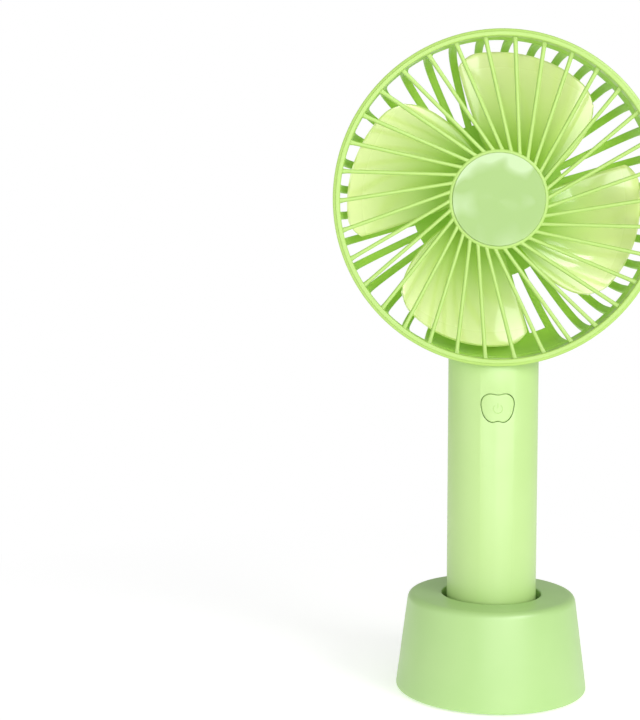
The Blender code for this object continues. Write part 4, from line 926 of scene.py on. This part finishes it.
def blade_mesh():
    """Two skins about the middle surface that close round its edges, with closer rows
    and columns near them."""
    shape = bmesh.new()
    upper, lower = [], []
    for row in range(BLADE_ROWS + 1):
        upper.append([])
        lower.append([])
        along = 1.0 - (1.0 - row / BLADE_ROWS) ** 1.25
        for column in range(BLADE_COLUMNS + 1):
            across = column / BLADE_COLUMNS
            across -= 0.11 * math.sin(math.tau * across)
            here = blade_middle(along, across)
            reach = blade_normal(along, across) * blade_half_thickness(along, across)
            upper[row].append(shape.verts.new(here + reach))
            lower[row].append(shape.verts.new(here - reach))
    for skin in (upper, lower):
        for first, second in zip(skin, skin[1:]):
            join_rows(shape, first, second)
    join_rows(shape, upper[0], lower[0])
    return finished(shape)


def rotor_hub_mesh():
    """A deep round-edged cap with a boss for the shaft."""
    inner = ROTOR_HUB_R - ROTOR_WALL
    floor = ROTOR_HUB_FRONT - ROTOR_WALL
    corners = [(0.0, ROTOR_HUB_FRONT), (ROTOR_HUB_R, ROTOR_HUB_FRONT),
               (ROTOR_HUB_R, ROTOR_HUB_BACK), (inner, ROTOR_HUB_BACK), (inner, floor),
               (ROTOR_BOSS_R, floor), (ROTOR_BOSS_R, ROTOR_BOSS_BACK), (0.0, ROTOR_BOSS_BACK)]
    radii = mm(0.0, 2.2, 0.3, 0.3, 0.6, 0.3, 0.2, 0.0)
    return turned(rounded(corners, radii))


def make_impeller():
    blades = repeated(blade_mesh(), around(BLADES))
    mesh = combined(rotor_hub_mesh(), ("UNION", blades))
    piece("rotor_blades", mesh, "lime_blade", "rotor", ["impeller"], HEAD_MATRIX)


# ========== handle
def half_tube(side):
    """Half of the round handle, its bottom edges slightly rounded."""
    inner = HANDLE_R - HANDLE_WALL
    corners = [(inner, HANDLE_TOP), (HANDLE_R, HANDLE_TOP), (HANDLE_R, HANDLE_BOTTOM),
               (inner, HANDLE_BOTTOM)]
    outline = rounded(corners, mm(0.0, 0.0, 0.35, 0.2), 4)
    half_turn = math.pi / 2 - SEAM / HANDLE_R
    return turned(outline, 96, side * math.pi / 2, half_turn)


def head_cutter():
    """The head's outside, slightly proud of it, that the handle's top is cut to."""
    proud = RIB_THICKNESS / 2 + HEAD_GAP
    front = RIM_FRONT + 5 * MM
    outline = [(0.0, front), (RING_R + HEAD_GAP, front), (RING_R + HEAD_GAP, BAND_BACK)]
    outline += [tuple(cage_point(degrees, proud)) for degrees in bowl_angles(90.0, 18)]
    outline += [(0.0, BAND_BACK - CAGE_DEPTH - proud)]
    mesh = turned(outline)
    mesh.transform(HEAD_MATRIX)
    return mesh


def button_outline(growth, count=96):
    """Rounded key outline with a shallow dip at the top and the bottom."""
    points = []
    for step in range(count):
        angle = math.tau * (step + 0.5) / count
        across, up = math.cos(angle), math.sin(angle)
        dip = 1.0 - BUTTON_DIP[0] * math.exp(-(across / BUTTON_DIP[1]) ** 2)
        taper = (1.0 + BUTTON_TAPER * up) / 1.03
        size = (abs(across) ** BUTTON_POWER + abs(up) ** BUTTON_POWER) ** (-1 / BUTTON_POWER)
        points.append(((BUTTON_HALF_WIDTH + growth) * across * size * taper,
                       (BUTTON_HALF_HEIGHT + growth) * up * size * dip))
    return points


def through(outline, z, start, end):
    """An (across, up) outline round height z, run along Y from start to end."""
    return lofted([[(across, y, z + up) for across, up in outline] for y in (start, end)])


def make_handle_front(head):
    key = through(button_outline(BUTTON_GAP), BUTTON_Z,
                  -HANDLE_R - 4 * MM, -HANDLE_R + 6 * MM)
    mesh = combined(half_tube(-1), ("DIFFERENCE", key), ("DIFFERENCE", head))
    mesh = bevelled(mesh, SHELL_EDGE)
    piece("handle_front", mesh, "lime_shell", "fan", ["handle_front_shell"])


def make_handle_back(head):
    """The back shell, with its port, lamp hole and two screw bosses."""
    port = through(rounded_bar(4.4 * MM, 1.85 * MM, 0.8 * MM, 5), USB_Z,
                   HANDLE_R - 5 * MM, HANDLE_R + 4 * MM)
    lamp = back_rod(LENS_R + 0.12 * MM, LENS_X, USB_Z, 6 * MM, 20 * MM)
    steps = [("DIFFERENCE", port), ("DIFFERENCE", lamp)]
    for x in (-SCREW_X, SCREW_X):
        boss = back_rod(SCREW_BOSS_R, x, SCREW_Z, 1.8 * MM, 11.0 * MM)
        sink = back_rod(SCREW_SINK_R, x, SCREW_Z, SCREW_HEAD_Y - 1.8 * MM, 20 * MM)
        hole = back_rod(SCREW_HOLE_R, x, SCREW_Z, 0.0, 20 * MM)
        steps += [("UNION", boss), ("DIFFERENCE", sink), ("DIFFERENCE", hole)]
    mesh = combined(half_tube(1), *steps, ("DIFFERENCE", head))
    mesh = bevelled(mesh, SHELL_EDGE)
    piece("handle_back", mesh, "lime_shell", "fan", ["handle_back_shell"])


def make_handle():
    head = head_cutter()
    make_handle_front(head)
    make_handle_back(head)


def on_handle(x, z, drop=0.0):
    """A point on the handle's front, at a height on the button."""
    return (x, -math.sqrt((HANDLE_R - drop) ** 2 - x ** 2), BUTTON_Z + z)


def make_button():
    """The key: concentric rings on the handle's curve, with a rounded edge."""
    outline = button_outline(0.0)
    levels = [(share, 0.0) for share in (0.02, 0.25, 0.5, 0.7, 0.85)]
    for angle in (math.radians(degrees) for degrees in (0, 15, 35, 55, 75, 90)):
        levels.append((1.0 - BUTTON_EDGE_SHARE * (1.0 - math.sin(angle)),
                       BUTTON_EDGE * (1.0 - math.cos(angle))))
    rings = [[on_handle(x * share, z * share, drop) for x, z in outline] for share, drop in levels]
    rings.append([(x, BUTTON_BACK, BUTTON_Z + z) for x, z in outline])
    mesh = lofted(rings)
    piece("button_key", mesh, "lime_button", "button", ["power_button"])


def make_button_mark():
    """A faint raised on-off mark: a broken ring and a short bar."""
    curve = bpy.data.curves.new("button_mark", "CURVE")
    curve.dimensions = "3D"
    curve.bevel_depth = MARK_WIRE_R
    curve.bevel_resolution = 2
    curve.use_fill_caps = True
    ring = []
    for angle in (math.radians(degrees) for degrees in range(38, 323, 12)):
        ring.append(on_handle(MARK_RING_R * math.sin(angle),
                              MARK_RING_R * math.cos(angle) - 0.2 * MM))
    bar = [on_handle(0.0, z) for z in (0.1 * MM, 0.9 * MM, 1.6 * MM)]
    for points in (ring, bar):
        spline = curve.splines.new("POLY")
        spline.points.add(len(points) - 1)
        for point, place in zip(spline.points, points):
            point.co = (*place, 1.0)
    mesh = applied(linked("work", curve))
    piece("button_mark", mesh, "lime_mark", "button")


def make_screws():
    """Cross-head screws, sunk in the handle's back."""
    top, neck = SCREW_HEAD_Y, SCREW_HEAD_Y - 1.45 * MM
    corners = [(0.0, top + 0.12 * MM), (SCREW_HEAD_R, top - 0.1 * MM), (SCREW_HEAD_R, neck),
               (SCREW_SHANK_R, neck), (SCREW_SHANK_R, -8.0 * MM), (0.0, -8.4 * MM)]
    radii = mm(0.0, 0.5, 0.1, 0.1, 0.3, 0.0)
    long, short, deep = 1.9 * MM, 0.42 * MM, 1.5 * MM
    for word, x in (("left", -SCREW_X), ("right", SCREW_X)):
        name = "back_screw_" + word
        mesh = turned(rounded(corners, radii), SMALL_ROUND)
        arms = [box((*arm, deep), (0, 0, top)) for arm in ((short, long), (long, short))]
        mesh = combined(mesh, *[("DIFFERENCE", arm) for arm in arms])
        piece(name, mesh, "steel", "fan", ["handle_screw_" + word], on_back(x, SCREW_Z))


def port_ring(inset, y):
    """The port's outline, whose two lower corners are cut off, at one depth."""
    w = (USB_HIGH.x - USB_LOW.x) / 2 - inset
    h = (USB_HIGH.z - USB_LOW.z) / 2 - inset
    slope = 0.9 * MM
    points = [(-w, h), (-w, -h + slope), (-w + slope, -h), (w - slope, -h), (w, -h + slope), (w, h)]
    return [(x, y, USB_Z + z) for x, z in rounded(points, mm(0.35) * 6, 3)]


def make_port():
    """Charging socket: a folded steel shell round a tongue with its contacts."""
    rings = [port_ring(0.0, USB_LOW.y), port_ring(0.0, USB_HIGH.y),
             port_ring(USB_WALL, USB_HIGH.y), port_ring(USB_WALL, USB_FLOOR)]
    piece("port_shell", lofted(rings), "steel", "fan", ["usb_socket"])
    tongue = box(mm(3.9, 4.0, 0.55), (0, TONGUE_Y, TONGUE_Z))
    tongue = bevelled(tongue, 0.1 * MM)
    piece("port_tongue", tongue, "black_plastic", "fan")
    for index in range(CONTACTS):
        x = (index - (CONTACTS - 1) // 2) * CONTACT_PITCH
        contact = box(mm(0.32, 3.2, 0.12),
                      (x, TONGUE_Y, TONGUE_Z - 0.3 * MM))
        contact = bevelled(contact, 0.03 * MM)
        piece("port_contact_%d" % (index + 1), contact, "brass", "fan")


def make_lens():
    """Light guide whose end is domed to the handle's curve."""
    face, back = LENS_HIGH.y, LENS_LOW.y
    corners = [(0.0, face + 0.10 * MM), (LENS_R, face - 0.1 * MM), (LENS_R, back), (0.0, back)]
    mesh = turned(rounded(corners, mm(0.0, 0.35, 0.1, 0.0)), SMALL_ROUND)
    piece("lamp_lens", mesh, "lens", "fan", ["charge_lens"], on_back(LENS_X, USB_Z))


def make_cap():
    """The battery cap: a round-edged foot with a coin slot."""
    collar_top = HANDLE_BOTTOM - 0.15 * MM
    spigot_r = HANDLE_R - HANDLE_WALL - 0.3 * MM
    bore_r = spigot_r - 1.5 * MM
    floor_top = CAP_BOTTOM + 2.0 * MM
    corners = [(0.0, floor_top), (bore_r, floor_top), (bore_r, CAP_TOP), (spigot_r, CAP_TOP),
               (spigot_r, collar_top), (HANDLE_R, collar_top), (HANDLE_R, CAP_BOTTOM),
               (0.0, CAP_BOTTOM)]
    radii = mm(0.0, 0.4, 0.2, 0.2, 0.0, 0.35, 1.5, 0.0)
    mesh = turned(rounded(corners, radii, 8))
    coin = rounded_bar(6.5 * MM, 0.9 * MM, 0.6 * MM, 5)
    slot = lofted([[(x, y, CAP_BOTTOM + z) for x, y in coin]
                                for z in (-1 * MM, 0.8 * MM)])
    mesh = bevelled(combined(mesh, ("DIFFERENCE", slot)), 0.12 * MM)
    piece("foot_cap", mesh, "lime_shell", "cap", ["battery_cap"])


# ========== stand
def make_stand_body():
    """A shallow cone with a soft top edge, and a round socket with a fine lip."""
    slope = (STAND_TOP_R - STAND_BASE_R) / (STAND_HEIGHT - STAND_BOTTOM)
    inner_top = STAND_HEIGHT - STAND_WALL
    skirt_top = STAND_BASE_R + slope * (inner_top - STAND_BOTTOM) - STAND_WALL
    socket_outer = SOCKET_R + SOCKET_WALL
    corners = [(0.0, SOCKET_FLOOR), (SOCKET_R, SOCKET_FLOOR), (SOCKET_R, STAND_HEIGHT),
               (STAND_TOP_R, STAND_HEIGHT), (STAND_BASE_R, STAND_BOTTOM),
               (STAND_BASE_R - STAND_WALL, STAND_BOTTOM), (skirt_top, inner_top),
               (socket_outer, inner_top), (socket_outer, SOCKET_UNDERSIDE),
               (0.0, SOCKET_UNDERSIDE)]
    radii = mm(0.0, 0.8, 0.6, 2.6, 1.3, 0.4, 1.0, 0.6, 0.6, 0.0)
    mesh = turned(rounded(corners, radii, 8), 2 * ROUND)
    piece("stand_body", mesh, "lime_stand", "stand", ["stand_shell"])


def make_stand_plate():
    """The plate under the stand, with a groove for the foot ring."""
    groove_top = FOOT_TOP + FOOT_GAP
    inner, outer = FOOT_BORE_R - FOOT_GAP, FOOT_R + FOOT_GAP
    corners = [(0.0, PLATE_TOP), (PLATE_R, PLATE_TOP), (PLATE_R, PLATE_BOTTOM),
               (outer, PLATE_BOTTOM), (outer, groove_top), (inner, groove_top),
               (inner, PLATE_BOTTOM), (0.0, PLATE_BOTTOM)]
    radii = mm(0.0, 0.3, 0.4, 0.2, 0.0, 0.0, 0.2, 0.0)
    mesh = turned(rounded(corners, radii))
    piece("stand_plate", mesh, "lime_stand", "stand", ["stand_base_plate"])


def make_foams():
    """The non-slip foot ring and the loose pad in the socket."""
    corners = [(FOOT_BORE_R, FOOT_TOP), (FOOT_R, FOOT_TOP), (FOOT_R, 0.0), (FOOT_BORE_R, 0.0)]
    mesh = turned(rounded(corners, mm(0.0, 0.0, 0.3, 0.3)))
    piece("foot_foam", mesh, "foam", "stand", ["stand_foot_ring"])
    corners = [(0.0, PAD_TOP), (PAD_R, PAD_TOP), (PAD_R, PAD_BOTTOM), (0.0, PAD_BOTTOM)]
    mesh = turned(rounded(corners, mm(0.0, 0.3, 0.2, 0.0)))
    piece("socket_foam", mesh, "foam", "pad", ["socket_pad"])


# ========== stage, light, camera
def floor_material():
    """Pale studio floor that fades to plain white away from the object; seen from
    below it is clear, so the underside shows."""
    g = Graph("studio_floor")
    tone = g.ramp(g.noise(6.0, 2.0), [(0.3, (0.87, 0.87, 0.87)), (0.7, (0.90, 0.90, 0.90))])
    fade = g.spread(g.length(g.place), 0.0, 1.0, *FLOOR_FADE)
    g.set(Base_Color=tone, Roughness=0.9, Specular_IOR_Level=0.1,
          Emission_Color=WHITE, Emission_Strength=FLOOR_GLOW)
    white = g.node("Emission").outputs["Emission"]
    clear = g.node("BsdfTransparent").outputs["BSDF"]
    below = g.node("NewGeometry").outputs["Backfacing"]
    above = g.mixed(fade, g.shader.outputs["BSDF"], white)
    return g.finish(g.mixed(below, above, clear))


def make_floor():
    shape = bmesh.new()
    bmesh.ops.create_circle(shape, cap_ends=True, segments=96, radius=FLOOR_R)
    mesh = plain_mesh(shape)
    mesh.materials.append(floor_material())
    linked("floor", mesh)


def make_world():
    """White to the camera; as light, a white surround that is dimmer overhead."""
    g = Graph("studio", "worlds", "Background")
    rise = g.node("SeparateXYZ", {"Vector": g.coordinates["Generated"]}).outputs["Z"]
    g.set(Color=WHITE, Strength=g.spread(rise, SURROUND, OVERHEAD, *SURROUND_RISE))
    seen = g.node("Background", {"Color": WHITE, "Strength": 1.0}).outputs["Background"]
    ray = g.node("LightPath").outputs["Is Camera Ray"]
    light = g.shader.outputs["Background"]
    bpy.context.scene.world = g.finish(g.mixed(ray, light, seen), "World Output")


def make_lights():
    for name, (place, size, power) in LIGHTS.items():
        data = bpy.data.lights.new(name, "AREA")
        data.shape = "RECTANGLE"
        data.size, data.size_y = size
        data.energy = power
        lamp = linked(name, data)
        lamp.location = place
        lamp.rotation_euler = (LIGHT_TARGET - Vector(place)).to_track_quat("-Z", "Y").to_euler()


def make_camera():
    data = bpy.data.cameras.new("camera")
    data.lens, data.sensor_width = CAMERA_LENS, CAMERA_SENSOR
    data.clip_start, data.clip_end = 0.01, 30.0
    camera = linked("camera", data)
    camera.location = CAMERA_PLACE
    camera.rotation_euler = (CAMERA_PITCH, 0.0, CAMERA_YAW)
    bpy.context.scene.camera = camera


# ========== build
MATERIALS = make_materials()
paint_cad_nodes()
make_grille()
make_film()
make_cage()
make_motor_cover()
make_impeller()
make_handle()
make_button()
make_button_mark()
make_screws()
make_port()
make_lens()
make_cap()
make_stand_body()
make_stand_plate()
make_foams()
make_floor()
make_world()
make_lights()
make_camera()
bpy.context.scene.view_settings.view_transform = "Standard"
